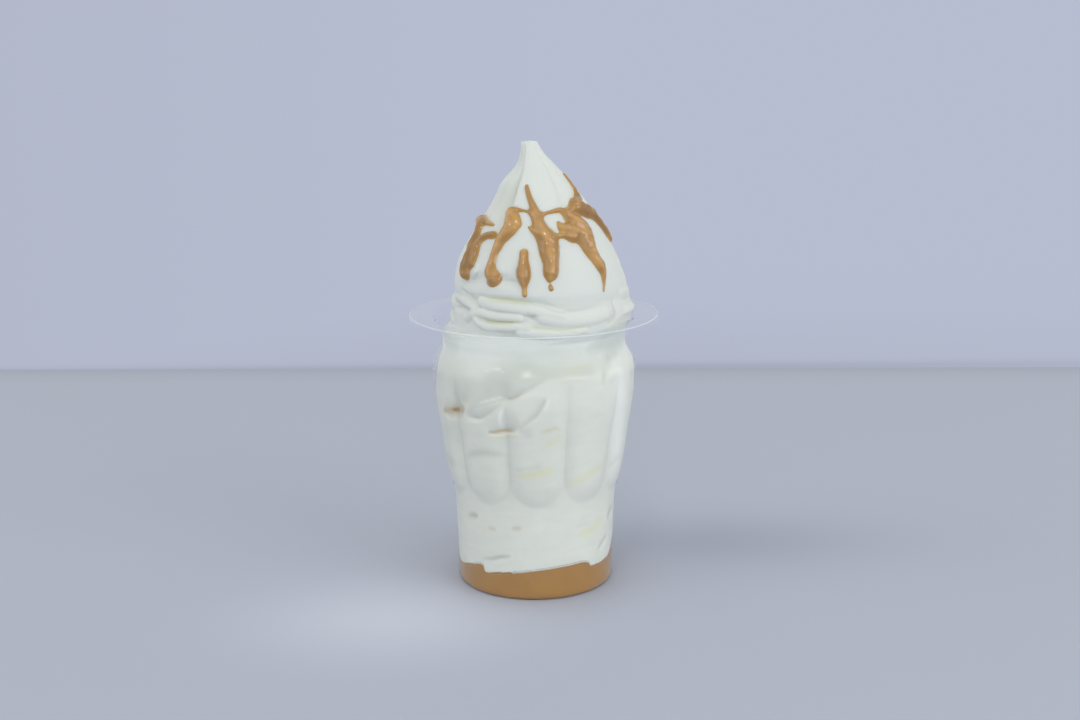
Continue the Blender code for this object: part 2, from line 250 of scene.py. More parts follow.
# Painted shade: darker towards the left and near the foot of the wall, darkest in a thin band at its foot.
dim = calc(tree, "MAXIMUM", calc(tree, "MULTIPLY", near_foot(0.035), 0.6),
           calc(tree, "MULTIPLY", way.outputs["X"], -1.3))
wall = mix_colour(tree, calc(tree, "MINIMUM", 1.0, dim), WALL_COLOUR, WALL_DIM)
wall = mix_colour(tree, near_foot(0.0032), wall, WALL_FOOT_SHADE)
feed(tree, tree.nodes["Background"].inputs["Color"], mix_colour(tree, seen, ROOM_LIGHT, wall))
bpy.context.scene.world = world
bpy.context.scene.view_settings.view_transform = "Standard"


def soft_light(name, place, size, power, colour=(1.0, 1.0, 1.0)):
    """A square softbox that faces the middle of the sundae."""
    data = bpy.data.lights.new(name, "AREA")
    data.size, data.energy, data.color = size, power, colour
    light = bpy.data.objects.new(name, data)
    bpy.context.scene.collection.objects.link(light)
    light.location = place
    toward = Vector((0.0, 0.0, 0.09)) - light.location
    light.rotation_euler = toward.to_track_quat("-Z", "Y").to_euler()
    return light


soft_light("front", (0.1, -1.6, 0.4), 1.5, 3.6)
soft_light("right", (1.1, -0.8, 0.7), 0.8, 3.5)
soft_light("left", (-1.2, -0.3, 0.7), 0.7, 1.1)
soft_light("shine", (-0.15, -0.75, 1.25), 0.18, 0.9)

# %% [markdown]
# ## Clear plastic
# The cup is thin clear plastic, pressed from one warm sheet. Its wall is so thin that light
# hardly bends in it. The usual index of plastic would bend it a lot in a wall of 0.7 mm and
# show dark lines along every curve, so the body has an index close to that of air, and a
# clear coat over it gives the shine. For shadow rays the wall is simply transparent, because
# otherwise the ice cream inside would sit in a dark, noisy shadow.

# %% Clear plastic material
plastic, tree, surface = new_material("clear_plastic")
place = add_node(tree, "ShaderNodeTexCoord").outputs["Object"]
ripple = add_node(tree, "ShaderNodeTexNoise", {"Vector": place, "Scale": 90.0, "Detail": 2.0})
uneven = add_node(tree, "ShaderNodeBump",
                  {"Height": ripple.outputs["Fac"], "Strength": 0.08, "Distance": 0.0004})
clear = add_node(tree, "ShaderNodeBsdfPrincipled", {"Normal": uneven.outputs[0]})
clear.inputs["Base Color"].default_value = (0.99, 0.995, 1.0, 1)
clear.inputs["Roughness"].default_value = 0.05
clear.inputs["IOR"].default_value = 1.003
clear.inputs["Transmission Weight"].default_value = 1.0
clear.inputs["Coat Weight"].default_value = 0.45
clear.inputs["Coat Roughness"].default_value = 0.16
clear.inputs["Coat IOR"].default_value = 1.45
through_light = add_node(tree, "ShaderNodeBsdfTransparent", {"Color": (0.975, 0.98, 0.98, 1)})
ray = add_node(tree, "ShaderNodeLightPath")
both = add_node(tree, "ShaderNodeMixShader", {0: ray.outputs["Is Shadow Ray"],
                                              1: clear.outputs[0], 2: through_light.outputs[0]})
tree.links.new(both.outputs[0], surface)
print("material:", plastic.name)

# %% [markdown]
# ## Edge of the flange
# The flange ends in a short skirt with a cut edge. There the plastic is scuffed, so it scatters
# light and shows as a bright band. A thin darker line along its upper corner is painted shade,
# where the rounded edge bends light away. Two more materials do that. They let part of the
# light through and scatter the rest.


# %% Scuffed plastic for the edge, and painted shade along its corner
def scuffed_and_shaded_plastic(name, colour, see_through):
    """Plastic that scatters light; see_through is the share that passes straight on."""
    made, tree, surface = new_material(name)
    place = add_node(tree, "ShaderNodeTexCoord").outputs["Object"]
    scuffs = add_node(tree, "ShaderNodeTexNoise", {"Vector": place, "Scale": 300.0, "Detail": 3.0})
    uneven = add_node(tree, "ShaderNodeBump",
                      {"Height": scuffs.outputs["Fac"], "Strength": 0.2, "Distance": 0.0002})
    shader = add_node(tree, "ShaderNodeBsdfPrincipled", {"Normal": uneven.outputs[0]})
    shader.inputs["Base Color"].default_value = colour
    shader.inputs["Roughness"].default_value = 0.25
    shader.inputs["IOR"].default_value = 1.003
    shader.inputs["Transmission Weight"].default_value = see_through
    tree.links.new(shader.outputs[0], surface)
    return made


skirt_plastic = scuffed_and_shaded_plastic("clear_plastic_skirt", (0.97, 0.985, 0.985, 1), 0.52)
# Painted shade: the thin grey line along the flange's upper corner.
rim_shade_plastic = scuffed_and_shaded_plastic("clear_plastic_rim_shade", (0.50, 0.53, 0.56, 1), 0.5)
print("materials:", skirt_plastic.name, rim_shade_plastic.name)

# %% [markdown]
# ## The cup
# The cup is a turned shape with ten flutes pressed into it, so one rule makes it: take the
# outline from the middle of the foot up the outside, over the flange and down the inside, and
# turn it round. Each flute is a panel with a half-round lower end that stands out by about
# 2 mm. Geometry Nodes turn the outline and press the flutes, because both follow a rule and
# the sizes then stay named inputs. The outline itself is a line of points made in Python.
# Each point carries the radius of the plain cone and the depth of the flutes at its height.

# %% Outline of the cup
WALL = 0.7
CUP_HEIGHT = 106.0
FLANGE_RADIUS = 47.5
FOOT_RECESS = 2.6
CONE = ((1.2, 30.3), (30.0, 31.3), (36.0, 31.6), (44.0, 32.3), (55.0, 33.8), (63.5, 35.2),
        (71.0, 36.7), (78.0, 37.8), (83.0, 38.4), (86.3, 38.7), (88.0, 38.5), (90.0, 37.4),
        (92.0, 36.1), (94.0, 35.3), (97.0, 35.1), (100.0, 35.9), (103.0, 37.5), (104.6, 38.4))
FLUTE_RELIEF = ((37.0, 1.3), (44.0, 1.7), (50.0, 2.1), (63.5, 1.8), (71.0, 1.45), (78.0, 1.1), (84.0, 0.6),
                (87.5, 0.2), (90.0, 0.0))


def rounded(corners, reach, steps=4):
    """The same line with each inner corner turned into a small curve."""
    corners = [np.array(c, dtype=float) for c in corners]
    line = [corners[0]]
    for before, corner, after in zip(corners, corners[1:], corners[2:]):
        into, out = before - corner, after - corner
        start = corner + into * min(reach / np.linalg.norm(into), 0.45)
        end = corner + out * min(reach / np.linalg.norm(out), 0.45)
        for t in np.linspace(0.0, 1.0, steps + 1):
            line.append((1 - t) ** 2 * start + 2 * t * (1 - t) * corner + t**2 * end)
    return line + [corners[-1]]


wall_heights = np.concatenate([np.arange(2.0, 84.0, 1.5), np.arange(84.0, 104.6, 0.6)])
outside = [(through(CONE, z), z) for z in wall_heights]
EDGE_OF_FLANGE, CORNER_OF_FLANGE = 0.9, 0.4
foot = rounded([(0.0, FOOT_RECESS), (22.0, FOOT_RECESS), (24.8, 0.0), (29.3, 0.0), outside[0]], 0.9)
flange = rounded([outside[-1], (39.4, 105.2), (46.6, 105.2), (46.7, 104.0), (47.5, 104.0),
                  (47.4, CUP_HEIGHT), (39.5, CUP_HEIGHT), (outside[-1][0] - WALL, outside[-1][1])], 0.35)
inside = [(r - WALL, z) for r, z in reversed(outside)]
floor_line = rounded([inside[-1], (28.8, WALL), (25.1, WALL), (22.2, FOOT_RECESS + WALL),
                      (0.0, FOOT_RECESS + WALL)], 0.6)
outline = np.array(foot + outside[1:] + flange[1:] + inside[1:] + floor_line[1:])
print("points in the outline:", len(outline))

# %% [markdown]
# ## Turning with nodes
# A lathe turns one outline round an axis. Here a flat grid stands for the turned sheet: one
# direction is the turn, the other the row of the outline. Each point looks up its row with
# Sample Index and is moved to its place on the cup. A Screw modifier could turn the outline,
# but it couldn't press flutes whose depth changes with the height.

# %% Geometry Nodes that turn the outline and press the flutes
FLUTES = 10
FLUTE_OFFSET = 1.8
FLUTE_FOOT = 37.5
FLUTE_EDGE = 8.0
CUP_COLUMNS = 360

press = bpy.data.node_groups.new("turn_and_flute", "GeometryNodeTree")
press.interface.new_socket("Outline", in_out="INPUT", socket_type="NodeSocketGeometry")
press.interface.new_socket("Cup", in_out="OUTPUT", socket_type="NodeSocketGeometry")
sizes = {
    "Columns": ("NodeSocketInt", CUP_COLUMNS),
    "Flutes": ("NodeSocketInt", FLUTES),
    "First flute": ("NodeSocketFloat", np.radians(FLUTE_OFFSET)),
    "Foot of the flutes": ("NodeSocketFloat", FLUTE_FOOT * MM),
    "Width of the edge": ("NodeSocketFloat", FLUTE_EDGE * MM),
    "Plastic": ("NodeSocketMaterial", plastic),
}
for label, (kind, _) in sizes.items():
    press.interface.new_socket(label, in_out="INPUT", socket_type=kind)
given = add_node(press, "NodeGroupInput").outputs

rows = add_node(press, "GeometryNodeAttributeDomainSize", {"Geometry": given["Outline"]}).outputs[0]
sheet = add_node(press, "GeometryNodeMeshGrid", {
    "Size X": 2 * np.pi, "Size Y": 1.0,
    "Vertices X": calc(press, "ADD", given["Columns"], 1.0), "Vertices Y": rows})
spot = add_node(press, "ShaderNodeSeparateXYZ",
                {"Vector": add_node(press, "GeometryNodeInputPosition").outputs[0]})
turn = spot.outputs["X"]
row = calc(press, "ROUND", calc(press, "MULTIPLY", calc(press, "ADD", spot.outputs["Y"], 0.5),
                                calc(press, "SUBTRACT", rows, 1.0)))


def from_outline(value, kind):
    """What the outline says at this row of the sheet."""
    reader = add_node(press, "GeometryNodeSampleIndex", data_type=kind)
    feed(press, reader.inputs["Geometry"], given["Outline"])
    feed(press, reader.inputs["Value"], value)
    feed(press, reader.inputs["Index"], row)
    return reader.outputs["Value"]


def carried(name):
    """A number that the outline's points carry."""
    return from_outline(add_node(press, "GeometryNodeInputNamedAttribute", {"Name": name},
                                 data_type="FLOAT").outputs["Attribute"], "FLOAT")


point = add_node(press, "ShaderNodeSeparateXYZ", {"Vector": from_outline(
    add_node(press, "GeometryNodeInputPosition").outputs[0], "FLOAT_VECTOR")})
cone, depth = carried("cone_radius"), carried("flute_depth")
pitch = calc(press, "DIVIDE", 2 * np.pi, given["Flutes"])
half_pitch = calc(press, "MULTIPLY", pitch, 0.5)
off = calc(press, "WRAP", calc(press, "SUBTRACT", turn, given["First flute"]), half_pitch,
           calc(press, "MULTIPLY", half_pitch, -1.0))
half = calc(press, "MULTIPLY", half_pitch, cone)
below = calc(press, "MAXIMUM", 0.0, calc(press, "SUBTRACT", calc(
    press, "ADD", given["Foot of the flutes"], half), point.outputs["Z"]))
side = calc(press, "MULTIPLY", off, cone)
away = calc(press, "SQRT", calc(press, "ADD", calc(press, "MULTIPLY", side, side),
                                calc(press, "MULTIPLY", below, below)))
within = add_node(press, "ShaderNodeClamp", {"Value": calc(
    press, "DIVIDE", calc(press, "SUBTRACT", half, away), given["Width of the edge"])}).outputs[0]
short = calc(press, "SUBTRACT", 1.0, within)
relief = calc(press, "MULTIPLY", depth, calc(
    press, "SUBTRACT", 1.0, calc(press, "MULTIPLY", short, short)))
radius = calc(press, "ADD", point.outputs["X"], relief)
turned = add_node(press, "ShaderNodeCombineXYZ", {
    "X": calc(press, "MULTIPLY", radius, calc(press, "SINE", turn)),
    "Y": calc(press, "MULTIPLY", radius, calc(press, "MULTIPLY", calc(press, "COSINE", turn), -1.0)),
    "Z": point.outputs["Z"]})
shaped = add_node(press, "GeometryNodeSetPosition",
                  {"Geometry": sheet.outputs["Mesh"], "Position": turned.outputs[0]})
closed = add_node(press, "GeometryNodeMergeByDistance",
                  {"Geometry": shaped.outputs[0], "Distance": 0.00001})
smooth = add_node(press, "GeometryNodeSetShadeSmooth", {"Geometry": closed.outputs[0]})
whole = add_node(press, "GeometryNodeRealizeInstances", {"Geometry": smooth.outputs[0]})
coated = add_node(press, "GeometryNodeSetMaterial",
                  {"Geometry": whole.outputs[0], "Material": given["Plastic"]})
feed(press, add_node(press, "NodeGroupOutput").inputs["Cup"], coated.outputs[0])
print("nodes in the tree:", len(press.nodes))


# %% [markdown]
# ## The finished cup
# The modifier's result is taken over as a plain mesh and the modifier removed, so that the
# piece is the same wherever it is opened. The normals are then turned outwards. The edge of the
# flange gets its two materials by the place of each face: scuffed plastic on the skirt, and a
# painted shade along its upper corner.

# %% Turn the cup
def settle(piece):
    """Turns what the modifier makes into a plain mesh, and takes the modifier away."""
    seen = piece.evaluated_get(bpy.context.evaluated_depsgraph_get())
    made = bpy.data.meshes.new_from_object(seen)
    piece.modifiers.clear()
    piece.data = made
    made.name = piece.name


def face_out(mesh):
    """Makes all faces point outwards."""
    bm = bmesh.new()
    bm.from_mesh(mesh)
    bmesh.ops.recalc_face_normals(bm, faces=bm.faces)
    if bm.calc_volume(signed=True) < 0:
        bmesh.ops.reverse_faces(bm, faces=bm.faces)
    bm.to_mesh(mesh)
    volume = bm.calc_volume(signed=True)
    bm.free()
    return volume


outline_mesh = bpy.data.meshes.new("outline")
outline_mesh.from_pydata([(r * MM, 0.0, z * MM) for r, z in outline],
                         [(i, i + 1) for i in range(len(outline) - 1)], [])
for label, table_of in (("cone_radius", CONE), ("flute_depth", FLUTE_RELIEF)):
    values = outline_mesh.attributes.new(label, "FLOAT", "POINT")
    values.data.foreach_set("value", through(table_of, outline[:, 1]) * MM)
cup_shell = bpy.data.objects.new("cup_shell", outline_mesh)
bpy.context.scene.collection.objects.link(cup_shell)
modifier = cup_shell.modifiers.new("turn_and_flute", "NODES")
modifier.node_group = press
for item in press.interface.items_tree:
    if item.in_out == "INPUT" and item.name in sizes:
        modifier[item.identifier] = sizes[item.name][1]
settle(cup_shell)
cup_volume = face_out(cup_shell.data)
print("cup:", len(cup_shell.data.vertices), "corners,", round(cup_volume * 1e6, 1), "cm3 of plastic")
cup_shell.data.materials.append(skirt_plastic)
cup_shell.data.materials.append(rim_shade_plastic)
# The skirt gets the scuffed plastic, and its upper corner the painted shade.
for face in cup_shell.data.polygons:
    if np.hypot(face.center.x, face.center.y) > (FLANGE_RADIUS - EDGE_OF_FLANGE) * MM:
        at_corner = face.center.z > (CUP_HEIGHT - CORNER_OF_FLANGE) * MM
        face.material_index = 2 if at_corner else 1
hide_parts("cup")
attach(cup_shell, "root")

# %% [markdown]
# ## The inside of the cup
# Sauce and ice cream lie against the wall and fill every flute, so their own sides need the
# same rule as the cup. It is repeated here for whole arrays of angles and heights. Both reach
# a third of a millimetre into the plastic: that way no thin layer of air shows between them.


# %% The wall for the contents
def cup_radius(angle, z):
    """Outside of the cup's wall at an angle and a height."""
    radius = through(CONE, z)
    pitch = 360.0 / FLUTES
    off = around((angle - FLUTE_OFFSET) * FLUTES) / FLUTES
    half = np.radians(pitch / 2) * radius
    below = np.maximum(FLUTE_FOOT + half - z, 0.0)
    inside = np.clip((half - np.hypot(np.radians(off) * radius, below)) / FLUTE_EDGE, 0.0, 1.0)
    return radius + through(FLUTE_RELIEF, z) * (1 - (1 - inside) ** 2)


def stroke(path, angle, z, radius):
    """For each place: the way to a path of (angle, height) in mm, and the path's taper there.

    The taper is 1 along the middle of the path and falls to almost nothing at its two ends."""
    nearest = np.full(np.broadcast(angle, z).shape, np.inf)
    share = np.zeros(nearest.shape)
    for i, ((a0, z0), (a1, z1)) in enumerate(zip(path, path[1:])):
        x0 = np.radians(around(a0 - angle)) * radius
        dx, dz = np.radians(a1 - a0) * radius, z1 - z0
        t = np.clip(-(x0 * dx + (z0 - z) * dz) / (dx**2 + dz**2), 0.0, 1.0)
        way = np.hypot(x0 + t * dx, z0 - z + t * dz)
        share = np.where(way < nearest, (i + t) / (len(path) - 1), share)
        nearest = np.minimum(nearest, way)
    return nearest, np.sqrt(np.clip(5.0 * share * (1 - share), 0.02, 1.0))


def path_height(path, angle):
    """Height of a path at each angle."""
    at, height = np.array(sorted(path), dtype=float).T
    return np.interp(at.mean() + around(angle - at.mean()), at, height)


def with_back(strokes):
    """The strokes that show, and the same kind of strokes round the hidden side."""
    return list(strokes) + [([(180 - 0.9 * a, z - 1.5) for a, z in path], *rest)
                            for path, *rest in strokes]


def skin(name, rings, bottom, top):
    """Closed mesh from rings of places, each ring joined to the next, with a pole at both ends."""
    count, columns = rings.shape[:2]
    corners = np.concatenate([rings.reshape(-1, 3), [bottom, top]]) * MM
    low = np.arange(count - 1)[:, None] * columns + np.arange(columns)
    high = np.roll(low, -1, axis=1)
    quads = np.stack([low, high, high + columns, low + columns], axis=-1).reshape(-1, 4)
    last = (count - 1) * columns
    ends = [(count * columns, (i + 1) % columns, i) for i in range(columns)]
    ends += [(count * columns + 1, last + i, last + (i + 1) % columns) for i in range(columns)]
    mesh = bpy.data.meshes.new(name)
    mesh.from_pydata(corners.tolist(), [], quads.tolist() + ends)
    mesh.shade_smooth()
    made = bpy.data.objects.new(name, mesh)
    bpy.context.scene.collection.objects.link(made)
    return made


COLUMNS = 360
angles = np.arange(COLUMNS) * 360.0 / COLUMNS - 180.0
print("rings have", COLUMNS, "corners")

# %% [markdown]
# ## Biscuit sauce
# The sauce is a thick, smooth spread, wet and glossy. Its tan is a little uneven where it was
# stirred, which noise gives. Three numbers on the mesh's own corners change the colour on the
# drizzle: a painted highlight makes it paler along the crest of a strand, it is golden where it
# lies thin, and it is browner where it lies deep and where painted shade darkens the strands at
# the far sides of the swirl. The pool has none of them and keeps the plain tan. A clear coat
# makes the sharp wet highlight over a softer one, and a little light scatters inside.

# %% Biscuit sauce material
sauce, tree, surface = new_material("biscuit_sauce")
place = add_node(tree, "ShaderNodeTexCoord").outputs["Object"]
stirred = add_node(tree, "ShaderNodeTexNoise",
                   {"Vector": place, "Scale": 120.0, "Detail": 3.0, "Distortion": 0.6})
colour = mix_colour(tree, stirred.outputs["Fac"], (0.325, 0.160, 0.031, 1), (0.395, 0.205, 0.045, 1))
crest_highlight_here = add_node(tree, "ShaderNodeAttribute", attribute_name="crest").outputs["Fac"]
thin_here = add_node(tree, "ShaderNodeAttribute", attribute_name="thin").outputs["Fac"]
streaky = add_node(tree, "ShaderNodeTexNoise", {"Vector": place, "Scale": 260.0, "Detail": 2.0})
crest_highlight_here = calc(tree, "MULTIPLY", crest_highlight_here, streaky.outputs["Fac"])
# Painted highlight: paler along the crest of each strand.
colour = mix_colour(tree, crest_highlight_here, colour, (0.70, 0.39, 0.125, 1))
colour = mix_colour(tree, thin_here, colour, (0.64, 0.37, 0.085, 1))
deep_and_shade_here = add_node(tree, "ShaderNodeAttribute", attribute_name="deep").outputs["Fac"]
# Browner where the sauce lies deep, and painted shade on the far sides of the swirl.
colour = mix_colour(tree, deep_and_shade_here, colour, (0.215, 0.098, 0.012, 1))
grain = add_node(tree, "ShaderNodeTexNoise", {"Vector": place, "Scale": 900.0, "Detail": 3.0})
fine = add_node(tree, "ShaderNodeBump",
                {"Height": grain.outputs["Fac"], "Strength": 0.15, "Distance": 0.0001})
shader = add_node(tree, "ShaderNodeBsdfPrincipled", {"Base Color": colour, "Normal": fine.outputs[0]})
shader.inputs["Roughness"].default_value = 0.3
shader.inputs["IOR"].default_value = 1.45
shader.inputs["Subsurface Weight"].default_value = 0.15
shader.inputs["Subsurface Radius"].default_value = (1.0, 0.55, 0.25)
shader.inputs["Subsurface Scale"].default_value = 0.001
shader.inputs["Coat Weight"].default_value = 1.0
shader.inputs["Coat IOR"].default_value = 1.5
shader.inputs["Coat Roughness"].default_value = 0.09
tree.links.new(shader.outputs[0], surface)
print("material:", sauce.name)

# %% [markdown]
# ## Sauce in the bottom
# The pool fills the foot of the cup. Its upper edge shows through the wall as an uneven line,
# with a notch at the front left and a small step at the right where the ice cream pushed into
# it. The line is a table of heights round the cup, and rings follow it up the wall.

# %% The pool of sauce
SAUCE_LINE = ((-180, 13.0), (-150, 11.5), (-120, 14.5), (-104, 19.0), (-92, 18.5), (-86, 14.0),
              (-82, 9.4), (-75, 8.2), (-66, 8.9), (-53, 11.0), (-49, 12.4), (-44, 13.0), (-41, 12.6),
              (-39.9, 9.4), (-37, 9.3), (-26, 10.8), (-15, 11.9), (-4, 12.8), (7, 13.5), (18, 14.0),
              (29, 14.3), (37, 14.3), (41.5, 13.8), (44, 12.0), (47, 11.0), (55, 10.8), (62, 11.4),
              (70, 12.6), (75, 14.3), (82, 17.5), (92, 19.0), (104, 15.5), (120, 13.0),
              (150, 11.0), (180, 13.0))
SAUCE_MIDDLE = 12.0
INTO_WALL = 0.38


def sauce_height(angle, share):
    """Top of the sauce, from the middle (share 0) out to the wall (share 1)."""
    at_wall = np.interp(angle, *np.array(SAUCE_LINE).T)
    return SAUCE_MIDDLE + (at_wall - SAUCE_MIDDLE) * share**2


def pool_rings():
    low = WALL - INTO_WALL
    rings = [polar(angles, r, z) for r, z in rounded(
        [(12.0, FOOT_RECESS + low), (22.3, FOOT_RECESS + low), (25.0, 0.12), (29.3, 0.12), (30.0, 1.5)], 0.9)]
    edge = sauce_height(angles, 1.0)
    for share in np.linspace(0.1, 1.0, 24):
        z = 1.5 + (edge - 1.5) * share
        rings.append(polar(angles, cup_radius(angles, z) - INTO_WALL, z))
    for share in (0.97, 0.9, 0.75, 0.5, 0.25):
        z = sauce_height(angles, share)
        rings.append(polar(angles, share * (cup_radius(angles, z) - INTO_WALL), z))
    return np.array(rings)


sauce_pool = skin("sauce_pool", pool_rings(), (0, 0, FOOT_RECESS + WALL - INTO_WALL), (0, 0, SAUCE_MIDDLE))
sauce_pool.data.materials.append(sauce)
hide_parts("bottom_sauce")
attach(sauce_pool, "root")
print("pool of sauce:", round(face_out(sauce_pool.data) * 1e6, 1), "cm3")

# %% [markdown]
# ## Soft serve
# Soft serve is frozen foam: nearly white, a touch green against the blue background, with
# light that scatters a few millimetres deep. Five numbers on the mesh's own corners change the
# colour, so that it follows the shape exactly. Behind the wall the ice cream is mottled and a
# little darker, a painted shade. One yellower tint is painted bounce light in the creases of the
# swirl, and thin smears of sauce behind the wall. It is grey partly where air stands before it,
# and partly as painted shade along folds, under the flange and in the creases. A broken smear of
# sauce stains it, and a painted highlight brightens lips where it touches the wall. A very fine
# bump gives the dull, airy skin.

# %% Soft serve material
cream, tree, surface = new_material("soft_serve")
place = add_node(tree, "ShaderNodeTexCoord").outputs["Object"]
crease_here = add_node(tree, "ShaderNodeAttribute", attribute_name="crease").outputs["Fac"]
shade_here = add_node(tree, "ShaderNodeAttribute", attribute_name="shade").outputs["Fac"]
stain_here = add_node(tree, "ShaderNodeAttribute", attribute_name="stain").outputs["Fac"]
lip_highlight_here = add_node(tree, "ShaderNodeAttribute", attribute_name="lip_highlight").outputs["Fac"]
in_cup_shade_here = add_node(tree, "ShaderNodeAttribute", attribute_name="in_cup_shade").outputs["Fac"]
patchy = add_node(tree, "ShaderNodeTexNoise", {"Vector": place, "Scale": 60.0, "Detail": 2.0})
colour = mix_colour(tree, patchy.outputs["Fac"], (0.785, 0.825, 0.785, 1), (0.815, 0.852, 0.812, 1))
layered = add_node(tree, "ShaderNodeMapping", {"Vector": place})
layered.inputs["Scale"].default_value = (1.0, 1.0, 2.6)
mottled = add_node(tree, "ShaderNodeTexNoise",
                   {"Vector": layered.outputs[0], "Scale": 110.0, "Detail": 3.0, "Distortion": 0.4})
# Behind the wall: mottled, and darker as a painted shade.
behind_wall = mix_colour(tree, mottled.outputs["Fac"], (0.635, 0.66, 0.605, 1), (0.718, 0.742, 0.685, 1))
colour = mix_colour(tree, in_cup_shade_here, colour, behind_wall)
# Yellower: painted bounce light in the creases of the swirl, and thin smears of sauce behind the wall.
colour = mix_colour(tree, crease_here, colour, (0.97, 0.955, 0.74, 1), "MULTIPLY")
# Painted shade: grey along folds, under the flange and in the creases.
colour = mix_colour(tree, shade_here, colour, (0.50, 0.53, 0.48, 1))
broken = calc(tree, "MULTIPLY_ADD", mottled.outputs["Fac"], 2.4, -0.3)
stain_here = calc(tree, "MINIMUM", 1.0, calc(tree, "MULTIPLY", stain_here, broken))
colour = mix_colour(tree, stain_here, colour, (0.42, 0.27, 0.10, 1))
# Painted highlight: lips where the cream touches the wall.
colour = mix_colour(tree, lip_highlight_here, colour, (0.80, 0.83, 0.80, 1))
airy = add_node(tree, "ShaderNodeTexNoise", {"Vector": place, "Scale": 700.0, "Detail": 4.0})
fine = add_node(tree, "ShaderNodeBump",
                {"Height": airy.outputs["Fac"], "Strength": 0.25, "Distance": 0.0002})
shader = add_node(tree, "ShaderNodeBsdfPrincipled", {"Base Color": colour, "Normal": fine.outputs[0]})
shader.inputs["Roughness"].default_value = 0.5
shader.inputs["IOR"].default_value = 1.35
shader.inputs["Subsurface Weight"].default_value = 0.5
shader.inputs["Subsurface Radius"].default_value = (1.0, 0.9, 0.75)
shader.inputs["Subsurface Scale"].default_value = 0.0025
tree.links.new(shader.outputs[0], surface)
print("material:", cream.name)

# %% [markdown]
# ## Form of the swirl
# A star nozzle draws ridges that run up to the tip, and the rope of ice cream folds over
# itself where the swirl leaves the cup. The body is a radius for each height round a middle
# line that leans a little, and twelve creases are cut into its upper part. Each crease has a
# steep and a flat side, because the ridges lean over as the swirl turns.

# %% Body of the swirl
SWIRL_TOP = 171.0
SWIRL = ((99.0, 34.5), (104.0, 34.9), (107.0, 34.6), (110.5, 33.9), (114.0, 32.8), (118.0, 32.7),
         (122.0, 31.8), (127.0, 30.2), (131.5, 28.0), (136.0, 25.6), (141.0, 23.0), (145.0, 20.4),
         (149.5, 17.4), (154.0, 14.4), (158.5, 10.9), (163.0, 7.4), (167.0, 4.6), (170.4, 3.1))
SPINE = ((99.0, 2.8), (104.0, 3.6), (110.0, 3.2), (118.0, 2.6), (127.0, 1.9), (136.0, 2.2),
         (145.0, 2.4), (154.0, 1.5), (160.0, 0.9), (166.0, -0.4), (171.0, -1.3))
CREASE_DEPTH = ((128.0, 0.0), (137.0, 0.5), (147.0, 1.7), (155.0, 1.6), (160.0, 1.0), (165.0, 0.5),
                (170.8, 0.1))
# Each crease: angle, strength, and how wide its left and right sides are, in degrees.
CREASE_TWIST = 0.3
CREASES = ((-36, 2.8, 20, 2.5), (-2, 0.1, 12, 10), (31, 1.1, 13, 8), (58, 0.4, 9, 9), (86, 0.9, 8, 12),
           (118, 0.6, 9, 9), (150, 1.0, 14, 6), (178, 0.5, 9, 9), (-152, 0.9, 7, 12),
           (-122, 0.6, 9, 9), (-94, 0.8, 9, 9), (-66, 0.35, 9, 9))


def crease_depth(angle, z):
    """Creases between the nozzle's ridges, 1 at the bottom of the deepest."""
    cut = 0.0
    for at, strength, left, right in CREASES:
        off = around(angle - at - CREASE_TWIST * (z - 150.0))
        cut = cut + strength * np.exp(-np.where(off < 0, -off / left, off / right))
    return cut


def body_radius(angle, z, crease_share=1.0):
    """Swirl without its folds, from its own leaning middle line."""
    left = np.exp(-(around(angle + 80.0) / 32.0) ** 2)
    flank = left * (0.6 * np.exp(-((z - 156.0) / 3.0) ** 2) - 2.6 * np.exp(-((z - 163.2) / 4.0) ** 2))
    cut = crease_depth(angle, z) - 0.25
    return through(SWIRL, z) + flank - through(CREASE_DEPTH, z) * cut * crease_share


# %% [markdown]
# ## Folds of the rope
# Lower down, ropes with a round section lie on the body. Taking the larger of body and rope at
# each place leaves the valley between two ropes that piped cream has; adding soft waves would
# not. Shallow dents draw the lines between the folds. Each fold is a short path of angles and
# heights, and the distance to that path gives its section.

# %% Folds and ropes
# Each line: path of (angle, height), half width and rise in mm. A rise below zero is a dent.
ROPES = (
    (((-42, 114.6), (-33, 114.0), (-24, 113.7), (-14, 113.5), (-4, 113.1), (5, 112.1), (13, 110.9)),
     2.2, 1.0),
    (((-56, 107.9), (-49, 110.2), (-42, 110.9), (-34, 110.5), (-27, 110.3), (-14, 110.4)), 1.8, 0.9),
    (((-46, 108.1), (-43, 106.9), (-36, 106.0), (-27, 106.3), (-17, 106.9), (-9, 106.6)), 1.6, 0.9),
    (((1, 110.6), (12, 109.2), (24, 108.7), (36, 109.2), (44, 110.2)), 3.6, 0.8),
    (((-14, 105.2), (-2, 104.5), (10, 104.2), (26, 104.6)), 2.0, 0.9),
    (((-74, 113.9), (-64, 113.4), (-53, 112.6), (-47, 111.7)), 1.5, 0.5),
)
DENTS = (
    (((-64, 120.5), (-53, 121.1), (-42, 122.9), (-29, 123.9), (-19, 123.2), (-11, 122.7)), 1.8, -1.1),
    (((-44.6, 116.6), (-32, 116.2), (-23, 116.3), (-13, 115.9), (-4, 115.3), (2.5, 114.9),
      (8.5, 113.4), (13, 111.6)), 1.0, -0.8),
    (((8.6, 113.7), (18, 111.9), (32, 111.9), (42, 113.1)), 1.7, -0.7),
    (((52.8, 114.6), (53.2, 111.1), (51.8, 108.7), (47, 106.6), (43, 105.8)), 1.0, -0.7),
    (((-66, 117.8), (-61.7, 116.7), (-53, 115.1), (-45, 113.6)), 1.1, -0.9),
    (((-74, 109.8), (-60, 110.5), (-51.6, 110.6)), 1.0, -0.8),
    (((-7.5, 109.6), (-4.8, 112.0)), 1.5, -0.8),
    (((-30, 104.0), (-16, 103.7)), 1.7, -0.9),
    (((-50, 126.6), (-46.5, 124.6)), 2.0, 0.7),
)


